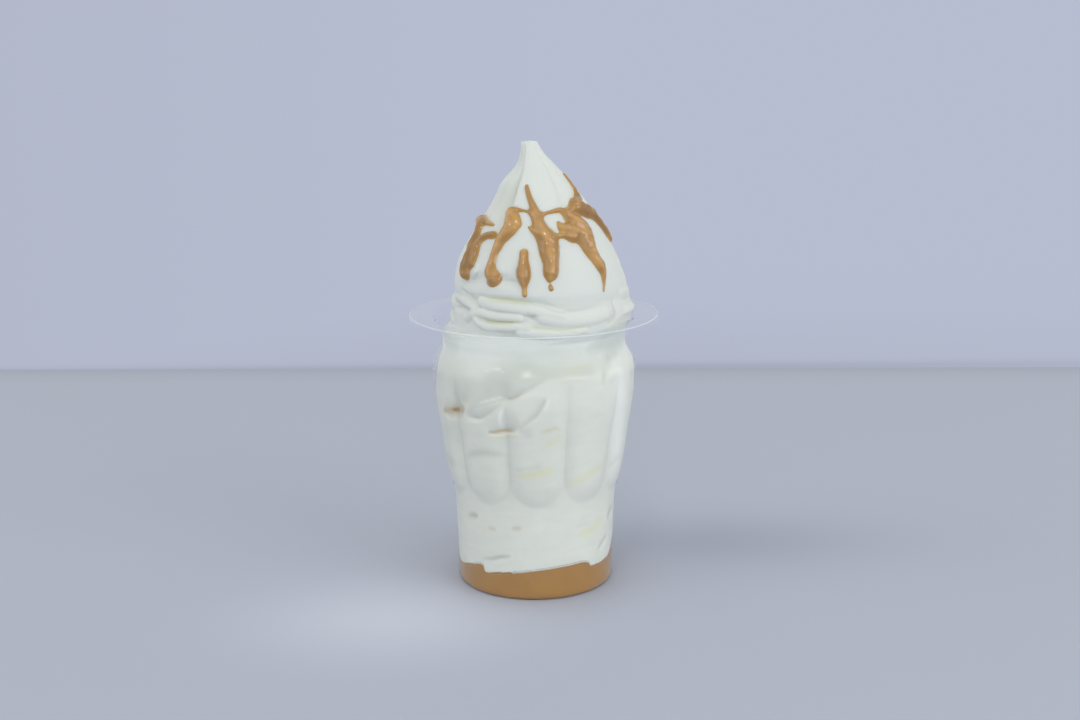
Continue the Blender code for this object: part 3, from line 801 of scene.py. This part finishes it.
def back_ropes():
    """The rope of ice cream goes on round the hidden side, a little lower on each turn."""
    made = []
    for first in (114.8, 108.3):
        path = [(a, first - 0.012 * (a - 70) + 0.9 * np.sin(np.radians(2.3 * a)))
                for a in range(66, 290, 8)]
        made.append((path, 3.1, 0.8))
    return made


def soft_max(first, second, blend):
    """The larger of two values, with the corner between them rounded."""
    mix = np.clip(0.5 + 0.5 * (first - second) / blend, 0.0, 1.0)
    return second + (first - second) * mix + blend * mix * (1 - mix)


def folds(angle, z, radius):
    """Rise of the ropes and dents over the body, in mm."""
    rise = np.zeros(np.broadcast(angle, z).shape)
    for path, half, height in with_back(DENTS):
        way, taper = stroke(path, angle, z, radius)
        rise += height * taper * np.exp(-(way / half) ** 2)
    rise -= 0.7 * ease(118.5, 115.5, z) * ease(24.0, 4.0, np.abs(around(angle + 30.0)) - 20.0)
    for path, half, height in list(ROPES) + back_ropes():
        d = np.minimum(stroke(path, angle, z, radius)[0] / half, 3.0)
        rope = height + half * (np.sqrt(np.maximum(1 - d**2, 0.0)) - 1) * 0.9 - np.maximum(d - 1, 0) * 2
        rise = soft_max(rope, rise, 0.35)
    return rise


# %% [markdown]
# ## Ice cream in the cup
# Below the flange the ice cream is pressed against the wall. Where it folded it left thin
# pockets of air, which show as grey and brown lines behind the plastic. They are cut into the
# surface as shallow grooves that leave the wall. Paint on the corners does the rest: painted
# shade deepens the grey along the folds and under the flange, and brown smears of sauce stain
# it. A texture laid round the cup would need a seam, and strokes with named places can be moved
# one by one.
# Every stroke has a mirrored copy on the hidden side, so that the back is finished as well.

# %% Pockets, stains and painted shade behind the wall
# Each pocket: path, depth in mm, and how far it fades out on its upper and its lower side.
POCKETS = (
    (((8, 88.6), (3.3, 86.7), (-2, 84.4), (-11, 81.6), (-22, 79.9), (-33, 76.7), (-39.4, 74.5)),
     0.7, 6.0, 1.2),
    (((-43, 72.9), (-39, 72.3), (-34, 72.1), (-30, 72.7), (-25.7, 74.6), (-16, 79.8)), 0.7, 4.0, 0.9),
    (((-64, 70.8), (-57, 70.4), (-48, 72.0), (-42, 74.6)), 1.4, 6.0, 0.8),
    (((-28, 67.1), (-23, 67.3), (-17, 68.3), (-11, 69.1), (-7, 68.0)), 0.8, 4.0, 0.6),
    (((-8, 69.6), (-2.3, 72.8), (1.1, 74.3), (3.3, 76.6), (5, 78.9), (6.6, 81.2)), 0.6, 5.0, 0.8),
    (((-44, 55.6), (-39, 57.2), (-32, 58.4), (-18, 58.8)), 0.4, 1.6, 1.6),
    (((41, 86.0), (45, 89.8), (53, 92.4)), 0.6, 3.0, 1.6),
    (((-41.7, 14.3), (-34, 14.8), (-26, 16.4), (-17, 17.4)), 0.5, 0.9, 0.8),
    (((-55, 30.2), (-44, 31.2)), 0.5, 1.0, 0.9),
    (((52, 16.2), (60, 17.8), (66, 19.9)), 0.5, 1.4, 1.0),
    (((65, 27.1), (73, 30.6)), 0.5, 1.2, 0.9),
    (((60, 49.4), (68, 52.4)), 0.4, 1.2, 1.2),
)
# Each painted shade: path, strength, and how far it fades out on its upper and its lower side.
SHADES = (
    (((8, 88.6), (3.3, 86.7), (-2, 84.4), (-11, 81.6), (-22, 79.9), (-33, 76.7), (-39.4, 74.5)),
     0.42, 5.0, 0.5),
    (((-16, 80.6), (-11, 81.6), (-7.6, 82.8), (-4, 83.8)), 0.6, 0.5, 0.35),
    (((-82, 84.0), (-60, 85.5), (-40, 86.5), (-22, 87.0), (-8, 90.0), (4, 92.0)), 0.36, 9.0, 7.0),
    (((-14, 82.0), (-3, 85.2), (6, 88.0)), 0.5, 0.7, 0.5),
    (((-43, 73.2), (-39, 72.6), (-34, 72.4), (-30, 73.0), (-25.7, 74.9), (-16, 80.1)), 0.5, 3.0, 0.35),
    (((-38, 72.6), (-31, 72.6)), 0.6, 0.6, 0.4),
    (((-52, 78.5), (-44, 80.5), (-37, 84.0)), 0.35, 3.5, 3.5),
    (((-52, 77.4), (-45, 79.4), (-39, 82.0)), 0.25, 2.0, 1.5),
    (((-30, 88.0), (-5, 90.0), (15, 90.5), (32, 90.0), (45, 92.0)), 0.75, 7.0, 4.0),
    (((32, 97.5), (55, 97.0), (85, 96.0)), 0.55, 5.0, 5.0),
    (((-30, 83.0), (-22, 85.5), (-14, 85.5)), 0.25, 5.0, 4.0),
    (((-28, 67.3), (-17, 68.5), (-9, 69.3)), 0.35, 2.5, 0.4),
    (((-8, 69.6), (-2.3, 72.8), (1.1, 74.3), (3.3, 76.6), (5, 78.9), (6.6, 81.2)), 0.55, 1.6, 0.4),
    (((-6.9, 71.4), (-3.6, 68.5), (-3.0, 66.0)), 0.35, 2.0, 2.0),
    (((-47, 55.4), (-39, 57.4), (-30, 58.8), (-17, 58.6)), 0.42, 2.0, 1.8),
    (((-70, 62.0), (-60, 63.5), (-50, 62.0)), 0.25, 4.0, 4.0),
    (((-77, 50.4), (-60, 51.3)), 0.35, 2.5, 2.5),
    (((42.3, 86.2), (45.7, 89.6), (53.3, 92.5), (65, 93.3)), 0.6, 2.6, 1.6),
    (((41, 84.0), (44, 88.0)), 0.4, 1.2, 1.2),
    (((71, 86.0), (77, 82.0)), 0.5, 3.0, 3.0),
    (((-41.7, 14.3), (-34, 14.8), (-26, 16.4), (-17, 17.4)), 0.75, 0.8, 0.5),
    (((-56, 30.0), (-50, 31.0), (-44, 31.2)), 0.75, 1.3, 0.9),
    (((51.6, 16.2), (59.6, 17.8), (66.3, 19.9)), 0.5, 1.6, 0.6),
    (((64, 26.4), (70.8, 29.3), (74, 31.4)), 0.7, 1.8, 1.0),
    (((29.8, 28.0), (35.7, 28.2), (44.1, 28.3)), 0.3, 0.8, 0.5),
    (((58.2, 48.7), (61.7, 50.6), (67.7, 52)), 0.5, 2.0, 1.6),
    (((-14, 52.6), (-4, 54.0), (6, 55.4)), 0.25, 1.0, 0.7),
    (((-78, 96.8), (-66, 96.6), (-52, 96.4)), 0.3, 4.0, 4.0),
)
STAINS = (
    (((-66, 71.2), (-58, 72.4), (-50, 74.0), (-42, 76.0)), 2.0, 0.65),
    (((-60, 71.8), (-53, 73.4), (-46, 75.0)), 1.1, 0.95),
    (((-28, 67.2), (-17, 68.3), (-9, 69.0)), 0.6, 0.8),
    (((-16, 80.5), (-11, 81.5), (-7, 82.9)), 0.5, 0.35),
    (((3.3, 68.4), (8, 69.1), (12, 70.0), (15.7, 68.7)), 0.6, 0.22),
    (((-46, 77.6), (-39, 79.6)), 1.8, 0.16),
    (((-17, 28.7), (-9, 29.6)), 0.9, 0.35),
    (((-36, 27.9), (-28, 27.7)), 0.7, 0.3),
    (((-53, 30.0), (-45, 31.4)), 0.9, 0.15),
)
# Yellow tints: painted bounce light in the creases between the ropes, and thin smears of sauce behind the
# wall: path, half width and strength.
YELLOWS = (
    (((-40, 116.8), (-32, 116.2), (-23, 116.3), (-13, 115.9), (-4, 115.3)), 0.8, 0.8),
    (((-40, 108.9), (-36, 107.9), (-30, 107.8), (-20, 108.3), (-14, 108.8)), 0.8, 0.9),
    (((-12.6, 107.8), (-5, 106.8), (1, 106.3), (10, 105.8), (19, 106), (29, 106.5)), 0.8, 0.45),
    (((41, 115.4), (64, 114.4)), 0.7, 0.35),
    (((44, 105.3), (61, 105.2)), 1.0, 0.5),
    (((19, 90.3), (27, 91.2), (38, 91.6)), 1.3, 1.0),
    (((12, 88.6), (22, 89.6), (32, 90.0)), 2.4, 0.4),
    (((2, 67.8), (8, 69.0), (13, 70.0)), 1.0, 0.5),
    (((5, 62.2), (11.6, 64.6), (17, 66.4)), 1.5, 0.55),
    (((-13, 50.2), (-3, 51.4), (2, 51.6)), 0.8, 0.9),
    (((-8, 51.0), (6, 52.5), (14, 53.6)), 1.8, 0.65),
    (((20, 46.0), (30, 48.4), (37, 50.0), (45, 51.0)), 2.2, 0.7),
    (((37, 50.6), (45.6, 51.0)), 0.9, 1.0),
    (((31, 24.9), (42, 25.0), (51, 27.2), (58, 28.8)), 2.0, 0.65),
    (((60, 62.4), (69, 64.8)), 0.9, 0.5),
    (((-27, 65.8), (-8, 66.6)), 0.9, 0.5),
)
# Painted shade in the creases between the ropes above the flange, and on the shaded side of the tip.
DARKS = (
    (((-78, 112.8), (-62.6, 112.1), (-54, 111.1), (-47.7, 110.9)), 1.1, 0.43),
    (((-37.6, 112.3), (-29.1, 112.1), (-21.5, 112.1), (-13.6, 111.8), (-9.8, 111.0)), 0.5, 0.36),
    (((-41, 108.9), (-33.9, 108.3), (-23.4, 108.5), (-15.6, 109.1)), 0.5, 0.25),
    (((-14.4, 108.1), (-7.8, 107.2), (1.1, 106.5), (10, 106), (19.3, 106.4), (29.6, 107.2)), 0.4, 0.18),
    (((-43, 115.6), (-29.2, 115.3), (-16.7, 115.4), (-7, 115.3), (2.4, 114.2), (8.4, 112.7),
      (12.7, 112.2), (24.7, 112.5), (33.6, 112.7)), 0.5, 0.25),
    (((52, 113.6), (53.1, 109.7), (47.9, 106)), 0.9, 0.25),
    (((-9.8, 112.7), (-6.1, 111.1), (-3.5, 112.4)), 0.8, 0.29),
    (((-30, 104.6), (-22.9, 104.5), (-15, 103.7)), 1.3, 0.25),
    (((-40, 158), (-38, 151), (-37, 146), (-38, 141)), 0.7, 0.32),
    (((-62, 157), (-56, 151), (-54, 145)), 4.0, 0.16),
    (((-26, 123.3), (-19.4, 123.4), (-12, 123.1)), 0.5, 0.29),
    (((-53.3, 121.8), (-49.3, 123.2), (-45.7, 124.8)), 0.7, 0.4),
)
# Painted highlights: bright lips where the ice cream turns out to the wall again, and bright patches on
# flutes at the right.
LIP_HIGHLIGHTS = (
    (((-34, 77.7), (-28, 79.3), (-22, 80.6), (-17, 81.4)), 0.45, 0.7),
    (((-31, 90.3), (-25.2, 91), (-21.1, 91.4), (-17, 90.2)), 0.4, 0.6),
    (((-17.6, 77.0), (-19.3, 75), (-19.9, 72.2), (-19.1, 69.6)), 0.5, 0.8),
    (((-48, 76.6), (-50.6, 71)), 0.35, 0.5),
    (((-41, 71.4), (-34, 71.2), (-29, 71.8)), 0.5, 0.4),
    (((5.6, 76.4), (7.4, 79.2), (8.8, 82)), 0.6, 0.5),
    (((28, 54), (33, 48), (39, 44.5)), 5.0, 0.22),
    (((56, 90), (57, 82.5), (59, 76.2), (62, 63.8), (64, 51.5), (67, 40)), 4.8, 0.6),
)


def pocket_depth(angle, z, radius):
    """How far the cream stands back from the wall; each pocket is sharp on one side."""
    cut = 0.0
    for path, depth, above, below in with_back(POCKETS):
        way, taper = stroke(path, angle, z, radius)
        fade = np.where(z > path_height(path, angle), above, below) * taper
        cut = np.maximum(cut, depth * taper * np.exp(-(way / fade) ** 2))
    return cut


def stroke_paint(strokes, angle, z, radius):
    """0 to 1 on each corner: how strongly the strokes colour it."""
    paint = np.zeros(np.broadcast(angle, z).shape)
    for path, half, strength in with_back(strokes):
        way, taper = stroke(path, angle, z, radius)
        paint = np.maximum(paint, strength * taper * np.exp(-(way / (half * taper)) ** 2))
    return paint


def shade_paint(angle, z, radius):
    """0 to 1 on each corner: how grey the cream looks where air stands before it, with painted shade along
    folds and under the flange.
    """
    light = 1.0
    for path, strength, above, below in with_back(SHADES):
        way, taper = stroke(path, angle, z, radius)
        fade = np.where(z > path_height(path, angle), above, below) * taper
        light = light * (1 - strength * taper * np.exp(-(way / fade) ** 2))
    return 1 - light


# %% [markdown]
# ## The whole ice cream
# One rule gives the place of the surface at any angle and height: against the wall in the cup,
# the swirl above it, and a smooth change between the two at the mouth. Rings of such places
# make a closed skin. The same strokes that dent it also write the colours on its corners.

# %% The ice cream
CLEAR_OF_WALL = 0.35
# The ice cream rounds off the corner of the shoulder: height, gap to the wall.
BEHIND_SHOULDER = ((74.0, 0.0), (78.0, 0.25), (82.0, 0.8), (86.0, 1.4), (88.0, 1.5), (90.0, 1.1),
                   (92.0, 0.5), (94.0, 0.1), (96.0, 0.0))


def serve_place(angle, z, crease_share=1.0, with_folds=True):
    """Place on the ice cream: against the wall in the cup, the swirl above it."""
    wall = cup_radius(angle, np.minimum(z, 104.6))
    behind = through(BEHIND_SHOULDER, z) * (z > BEHIND_SHOULDER[0][0]) * (z < BEHIND_SHOULDER[-1][0])
    behind = behind * (0.6 - 0.4 * np.sin(np.radians(angle)))
    in_cup = wall - INTO_WALL - pocket_depth(angle, z, wall) - behind
    own = body_radius(angle, np.maximum(z, 99.0), crease_share)
    if with_folds:
        own = own + folds(angle, z, own)
    lean = through(SPINE, np.maximum(z, 99.0))
    share = ease(97.5, 103.5, z)[..., None]
    spot = (1 - share) * polar(angle, in_cup, z) + share * (
        polar(angle, own, z) + np.stack(np.broadcast_arrays(lean, 0.0, 0.0), axis=-1))
    reach = np.hypot(spot[..., 0], spot[..., 1])
    room = wall - INTO_WALL - (WALL - INTO_WALL + CLEAR_OF_WALL) * ease(98.5, 101.0, z)
    spot[..., :2] *= np.where(z < 108.0, np.minimum(1.0, room / np.maximum(reach, 0.1)), 1.0)[..., None]
    return spot


def serve_rings():
    base = 8.0
    heights = np.concatenate([np.arange(base, 100.0, 0.85), np.arange(100.0, 128.0, 0.35),
                              np.arange(128.0, SWIRL_TOP - 0.5, 0.6), [SWIRL_TOP - 0.35]])
    line = sauce_height(angles, 1.0) - 1.2
    z = heights[:, None] + (line - base) * (1 - ease(base, base + 16.0, heights))[:, None]
    a = np.broadcast_to(angles, z.shape)
    return serve_place(a, z), a, z


rings, ring_angles, ring_heights = serve_rings()
inner = []
for share in (0.3, 0.6, 0.85):
    z = sauce_height(angles, share) - 1.2
    inner.append(polar(angles, share * (cup_radius(angles, z) - INTO_WALL), z))
tip = (through(SPINE, SWIRL_TOP), 0.0, SWIRL_TOP)
ice_cream = skin("ice_cream", np.concatenate([inner, rings]), (0, 0, SAUCE_MIDDLE - 1.2), tip)
ice_cream.data.materials.append(cream)
radius = np.hypot(rings[..., 0], rings[..., 1])
blank = np.zeros(len(inner) * COLUMNS)


def keep_paint(label, painted):
    """Stores one number for each corner, where the material finds it."""
    values = ice_cream.data.attributes.new(label, "FLOAT", "POINT")
    values.data.foreach_set("value", np.concatenate([blank, painted.ravel(), [0.0, 0.0]]))


for label, strokes in (("crease", YELLOWS), ("stain", STAINS)):
    painted = stroke_paint(strokes, ring_angles, ring_heights, radius)
    # The creases of the tip get painted bounce light by their depth.
    if label == "crease":
        deep = through(CREASE_DEPTH, np.clip(ring_heights, 128.0, 170.0)) / 2.0
        painted = np.maximum(painted, 0.06 * deep * crease_depth(ring_angles, ring_heights))
    keep_paint(label, painted)
# Painted shade: grey along folds and under the flange, in the creases and on the shaded side of the tip.
dark = stroke_paint(DARKS, ring_angles, ring_heights, radius)
keep_paint("shade", 1 - (1 - shade_paint(ring_angles, ring_heights, radius)) * (1 - dark))
# Painted highlight along the lips.
keep_paint("lip_highlight", stroke_paint(LIP_HIGHLIGHTS, ring_angles, ring_heights, radius))
# Painted shade: the ice cream below the flange is darker.
keep_paint("in_cup_shade", ease(96.0, 88.0, ring_heights))
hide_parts("soft_serve")
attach(ice_cream, "root")
print("ice cream:", len(ice_cream.data.polygons), "faces,",
      round(face_out(ice_cream.data) * 1e6, 1), "cm3")

# %% [markdown]
# ## Drizzle
# The sauce was poured over the swirl and ran down in strands that swell into bulbs and join
# where they meet. Tubes laid on the swirl would look like worms, so the sauce is a layer
# instead: a fine grid over the swirl holds how far each place lies inside the nearest strand,
# strands are joined with a soft maximum, and that depth is turned into a domed thickness.
# Outside a strand the layer dips under the ice cream, which leaves a smooth outline.

# %% Strands of sauce
# Angle, height and half width along the middle of each strand.
STRANDS = {
    "far_left": ((-80, 141.8, 2.2), (-72, 140.0, 1.9), (-67.5, 136.6, 2.1), (-64.5, 133.8, 2.7),
                 (-61.5, 131.0, 2.9), (-60, 128.1, 3.0), (-60, 125.0, 3.0), (-59.5, 123.8, 2.8)),
    "far_left_spur": ((-76, 142.2, 1.9), (-61.6, 141.9, 1.0), (-52.2, 141.6, 0.4)),
    "far_left_branch": ((-46, 138.2, 1.5), (-52, 137.7, 1.5), (-56.4, 136.4, 1.6), (-58.0, 134.3, 1.6),
                        (-56, 131.6, 1.7), (-54, 129.1, 1.6), (-53, 127.4, 1.1)),
    "left": ((-32.6, 146.1, 1.75), (-31.6, 143.9, 1.9), (-27.6, 141.8, 3.2), (-30.6, 138.9, 2.8),
             (-33.4, 136.8, 2.4), (-34.6, 134.5, 2.1), (-35.4, 132.2, 1.75), (-35.4, 129.9, 1.75),
             (-35.0, 127.4, 2.2), (-34.2, 124.9, 3.0), (-32.4, 123.4, 3.4)),
    "left_arm": ((-32.1, 146.4, 1.6), (-24, 144.1, 1.9), (-20.6, 142.5, 1.4)),
    "arch_left": ((-32.1, 146.6, 1.6), (-25.3, 147.4, 0.9), (-18.1, 147.2, 0.65), (-11.5, 146.8, 0.55),
                  (-7.8, 146.2, 0.7)),
    "lone": ((-11.3, 133.0, 1.7), (-10.7, 130.3, 1.9), (-10.3, 128.3, 2.4), (-10.2, 126.3, 2.8),
             (-10.1, 124.3, 2.5), (-9.9, 122.3, 1.5), (-9.9, 120.6, 0.95), (-9.9, 118.5, 0.95)),
    "middle": ((-15.1, 155.5, 0.8), (-13.1, 153.8, 1.0), (-9.6, 151.2, 1.15), (-6.2, 148.7, 1.45),
               (-3.4, 145.9, 2.0), (-0.9, 143.1, 2.4), (2.7, 140.4, 3.0), (5.8, 138.1, 3.7),
               (7.7, 135.8, 4.0), (8.2, 133.6, 3.85), (8.8, 131.3, 3.4), (9.1, 129.1, 3.0),
               (8.9, 127.6, 3.0), (8.5, 126.2, 2.8)),
    "middle_spur": ((-1.4, 139.8, 1.4), (-6, 140.6, 0.85), (-9.6, 141.6, 0.4)),
    "middle_end": ((7.6, 124.6, 1.0), (6.6, 123.6, 0.4)),
    "drop": ((7.2, 121.3, 0.75), (7.4, 120.6, 0.9)),
    "arch_right": ((1.9, 145.8, 0.8), (8.4, 146.4, 0.7), (17.7, 147.0, 0.85), (25.6, 147.2, 1.0),
                   (31, 146.1, 1.3)),
    "right": ((31, 146.1, 1.3), (34.6, 143.7, 2.3), (39.0, 141.4, 4.2), (41.8, 138.7, 4.9),
              (43.0, 135.7, 4.1), (43.4, 132.8, 3.2), (46.0, 129.7, 2.6), (48.5, 126.8, 2.4),
              (49, 124.4, 1.7), (47.6, 121.6, 0.9), (45.1, 118.1, 0.4)),
    "right_lobe": ((35.6, 139.1, 2.7), (27.1, 140.5, 2.5), (21.2, 141.5, 1.6), (19, 143.0, 0.65)),
    "link": ((29.6, 137.9, 2.2), (22.1, 138.5, 1.1), (16.9, 138.5, 0.8), (11.6, 138.3, 1.2)),
    "far_right": ((76, 158.5, 0.7), (71, 155.0, 0.9), (67, 152.2, 1.2), (60.2, 150.0, 1.9),
                  (50, 147.9, 3.1), (57, 146.4, 3.3), (67, 144.4, 2.7), (73, 141.5, 2.0),
                  (81, 138.3, 2.0), (86, 135.8, 1.9), (88, 133.8, 1.4)),
    "far_right_corner": ((48.7, 147.9, 2.8), (38, 147.0, 1.2), (35.4, 146.7, 0.8)),
}
# Where the sauce lies thin and looks golden: path, half width and strength.
THIN_SPOTS = (
    (((-25, 146), (-20.5, 143.3), (-20, 141.3), (-23, 138.5)), 1.8, 0.8),
    (((-11, 141.6), (-6.1, 138.7), (-3.9, 135)), 1.3, 0.8),
    (((16.5, 143.5), (18.5, 140.6), (21, 138.2)), 1.6, 0.9),
    (((-15.2, 133.2), (-11.5, 134.2), (-8, 133.3)), 1.2, 0.8),
    (((-9.9, 121.4), (-9.9, 118)), 1.2, 0.8),
    (((7.2, 121.4), (7.4, 120.4)), 1.6, 0.6),
    (((9, 125.2), (7, 123.4)), 1.2, 0.8),
    (((-62, 142), (-52, 141.6)), 1.2, 0.9),
    (((46, 121), (45, 118)), 1.5, 0.6),
    (((34, 134.6), (37, 131.6), (39, 129)), 1.2, 0.5),
)
# Painted highlights along the crest of a strand, which make it paler: path, half width, strength.
PALE_SPOTS = (
    (((-6.4, 146.8), (-4.3, 144.1), (-0.3, 141.1)), 1.5, 1.5),
    (((41.5, 133.0), (45.0, 129.5), (47.0, 126.0)), 2.4, 1.6),
    (((-29.4, 128.1), (-30.7, 124.9)), 1.5, 1.0),
    (((36.6, 143.5), (30.2, 141.6)), 1.5, 0.9),
)
# Where the sauce lies deepest and looks browner, and painted shade on the strands at the far
# sides of the swirl: path, half width and strength.
DEEP_AND_SHADED_SPOTS = (
    (((-62, 132.0), (-60.5, 127.8), (-60, 124.5)), 3.4, 0.55),
    (((-68, 138.0), (-64, 133.5)), 2.4, 0.35),
    (((50, 149.0), (55, 148.0), (62, 145.6)), 3.6, 0.65),
    (((66, 144.0), (76, 140.5), (86, 136.0)), 2.6, 0.45),
    (((-10.1, 128.0), (-9.9, 123.5)), 2.0, 0.25),
)
BACK_STRANDS = ("left", "left_arm", "arch_left", "lone", "middle", "middle_spur", "arch_right",
                "right", "right_lobe", "link")
SIDE_STRAND = ((126, 148.6, 1.0), (127, 143.0, 1.8), (126, 136.0, 1.5), (125, 129.5, 2.5),
               (126, 126.0, 2.1))


def all_strands():
    """The strands that show, and the same kind of strands round the side and the back."""
    strands = list(STRANDS.values())
    for name in BACK_STRANDS:
        strands.append([(180 - 0.9 * a, z - 0.8, 0.94 * w) for a, z, w in STRANDS[name]])
    strands.append(SIDE_STRAND)
    strands.append([(-a, z - 1.2, w) for a, z, w in SIDE_STRAND])
    return strands


def sample_strand(strand, step=0.5):
    """Even steps along a strand: angle, height and half width."""
    a, z, w = np.array(strand, dtype=float).T
    x = np.radians(a) * through(SWIRL, z.mean())
    travel = np.concatenate(([0.0], np.cumsum(np.hypot(np.diff(x), np.diff(z)))))
    steps = np.linspace(0.0, travel[-1], max(3, int(travel[-1] / step)))
    return [through(list(zip(travel, v)), steps) for v in (a, z, w)]


# %% [markdown]
# ## Thickness of the sauce
# For each place of the grid the nearest point on every strand is found, and with it how far
# inside the strand the place lies. A sum of exponentials is a soft maximum: it lets two strands
# run together with a small web between them, as thick sauce does. The dome is steeper at the
# edge than a circle, because such sauce stands up before it spreads.

# %% Layer of sauce over the swirl
LAYER_STEP_ANGLE, LAYER_STEP_HEIGHT = 0.5, 0.22
JOIN = 0.7
STEEP = 2.2
THICK = 0.85
THICKEST = 2.6
UNDER = 1.2

layer_angles = np.arange(0.0, 360.0, LAYER_STEP_ANGLE)
layer_heights = np.arange(113.0, 163.0, LAYER_STEP_HEIGHT)
LA, LZ = np.meshgrid(layer_angles, layer_heights)
bed = serve_place(LA, LZ, crease_share=0.5)
inside_sum = np.zeros(LA.shape)
width_sum = np.zeros(LA.shape)
for strand in all_strands():
    sa, sz, sw = sample_strand(strand)
    spots = serve_place(sa, sz, crease_share=0.5)
    rows_near = np.abs(layer_heights - (sz.min() + sz.max()) / 2) < (sz.max() - sz.min()) / 2 + 6.0
    middle = around(sa - sa.mean())
    cols_near = np.abs(around(layer_angles - sa.mean())) < np.abs(middle).max() + 30.0
    block = np.ix_(rows_near, cols_near)
    here = bed[block]
    best = np.full(here.shape[:2], -np.inf)
    best_width = np.ones(here.shape[:2])
    for p, q, wp, wq in zip(spots, spots[1:], sw, sw[1:]):
        way = q - p
        t = np.clip(((here - p) @ way) / (way @ way), 0.0, 1.0)
        half = wp + (wq - wp) * t
        within = half - np.linalg.norm(here - p - t[..., None] * way, axis=-1)
        closer = within > best
        best[closer], best_width[closer] = within[closer], half[closer]
    weight = np.exp(np.maximum(best, -8.0) / JOIN)
    inside_sum[block] += weight
    width_sum[block] += weight * best_width
depth_in = JOIN * np.log(np.maximum(inside_sum, 1e-9))
width = np.maximum(width_sum / np.maximum(inside_sum, 1e-9), 0.3)
off_middle = np.clip((width - depth_in) / width, 0.0, 3.0)
thick = np.minimum(THICK * width, THICKEST)
rise = thick * (1 - off_middle**STEEP)
lumps = np.sin(LA * 0.55 + LZ * 0.9) * np.sin(LZ * 1.3 - LA * 0.21)
rise = np.where(rise > 0, rise * (1 + 0.06 * lumps), rise)
# Painted highlight along the middle of each strand, weaker at the far sides of the swirl.
crest = np.where(rise > 0, np.exp(-(off_middle / 0.5) ** 2), 0.0) * ease(0.8, 1.8, width)
crest = np.maximum(1.4 * crest, np.where(rise > 0, 0.45, 0.0))
crest = crest * (1 - 0.75 * np.exp(-((np.abs(around(LA)) - 64.0) / 16.0) ** 2))
thin = np.exp(-np.maximum(rise, 0.0) / 0.35)
for path, half, strength in with_back(THIN_SPOTS):
    away, taper = stroke(path, LA, LZ, through(SWIRL, LZ))
    thin = np.maximum(thin, strength * taper * np.exp(-(away / half) ** 2))
for path, half, strength in with_back(PALE_SPOTS):
    away, taper = stroke(path, LA, LZ, through(SWIRL, LZ))
    crest = np.maximum(crest, strength * taper * np.exp(-(away / half) ** 2))
# Browner where the sauce lies deep, and painted shade at the far sides of the swirl.
deep = np.zeros(LA.shape)
for path, half, strength in with_back(DEEP_AND_SHADED_SPOTS):
    away, taper = stroke(path, LA, LZ, through(SWIRL, LZ))
    deep = np.maximum(deep, strength * taper * np.exp(-(away / half) ** 2))
print("layer of", LA.size, "places, sauce up to", round(float(rise.max()), 2), "mm thick")

# %% [markdown]
# ## The drizzle as a mesh
# Only the cells where there is sauce are kept. They are lifted along the surface's normal, the
# same cells below close the underside, and a strip round the rim joins the two. That makes one
# closed body for all the strands, with no holes and no faces inside it.

# %% Mesh of the drizzle
aside = np.roll(bed, -1, axis=1) - np.roll(bed, 1, axis=1)
upward = np.gradient(bed, axis=0)
outward = np.cross(aside, upward)
outward /= np.linalg.norm(outward, axis=-1, keepdims=True)
rise_kept = np.clip(rise, -UNDER, None)
top = bed + outward * rise_kept[..., None]
bottom = bed - outward * (UNDER + 0.3)
wet = rise > -0.6
cells = wet[:-1] | wet[1:]
cells = cells | np.roll(cells, -1, axis=1)
cell_rows, cell_cols = np.nonzero(cells)
n_rows, n_cols = LA.shape


def corner(r, c):
    return r * n_cols + c % n_cols


low_left, low_right = corner(cell_rows, cell_cols), corner(cell_rows, cell_cols + 1)
up_left, up_right = corner(cell_rows + 1, cell_cols), corner(cell_rows + 1, cell_cols + 1)
quads = np.stack([low_left, low_right, up_right, up_left], axis=1)
used, flat = np.unique(quads, return_inverse=True)
flat = flat.reshape(-1, 4)
edges = np.concatenate([flat[:, [i, (i + 1) % 4]] for i in range(4)])
keys = edges[:, 0] * len(used) + edges[:, 1]
mirror = edges[:, 1] * len(used) + edges[:, 0]
rim = edges[~np.isin(keys, mirror)]
below_flat = flat[:, ::-1] + len(used)
sides = np.stack([rim[:, 1], rim[:, 0], rim[:, 0] + len(used), rim[:, 1] + len(used)], axis=1)
corners = np.concatenate([top.reshape(-1, 3)[used], bottom.reshape(-1, 3)[used]]) * MM
mesh = bpy.data.meshes.new("drizzle")
mesh.from_pydata(corners.tolist(), [], np.concatenate([flat, below_flat, sides]).tolist())
mesh.shade_smooth()
for label, painted, below in (("crest", crest, 0.0), ("thin", thin, 1.0), ("deep", deep, 0.0)):
    values = mesh.attributes.new(label, "FLOAT", "POINT")
    values.data.foreach_set("value", np.concatenate([painted.ravel()[used], np.full(len(used), below)]))
drizzle = bpy.data.objects.new("drizzle", mesh)
bpy.context.scene.collection.objects.link(drizzle)
mesh.materials.append(sauce)
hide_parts("soft_serve")
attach(drizzle, "root")
print("drizzle:", len(mesh.polygons), "faces")
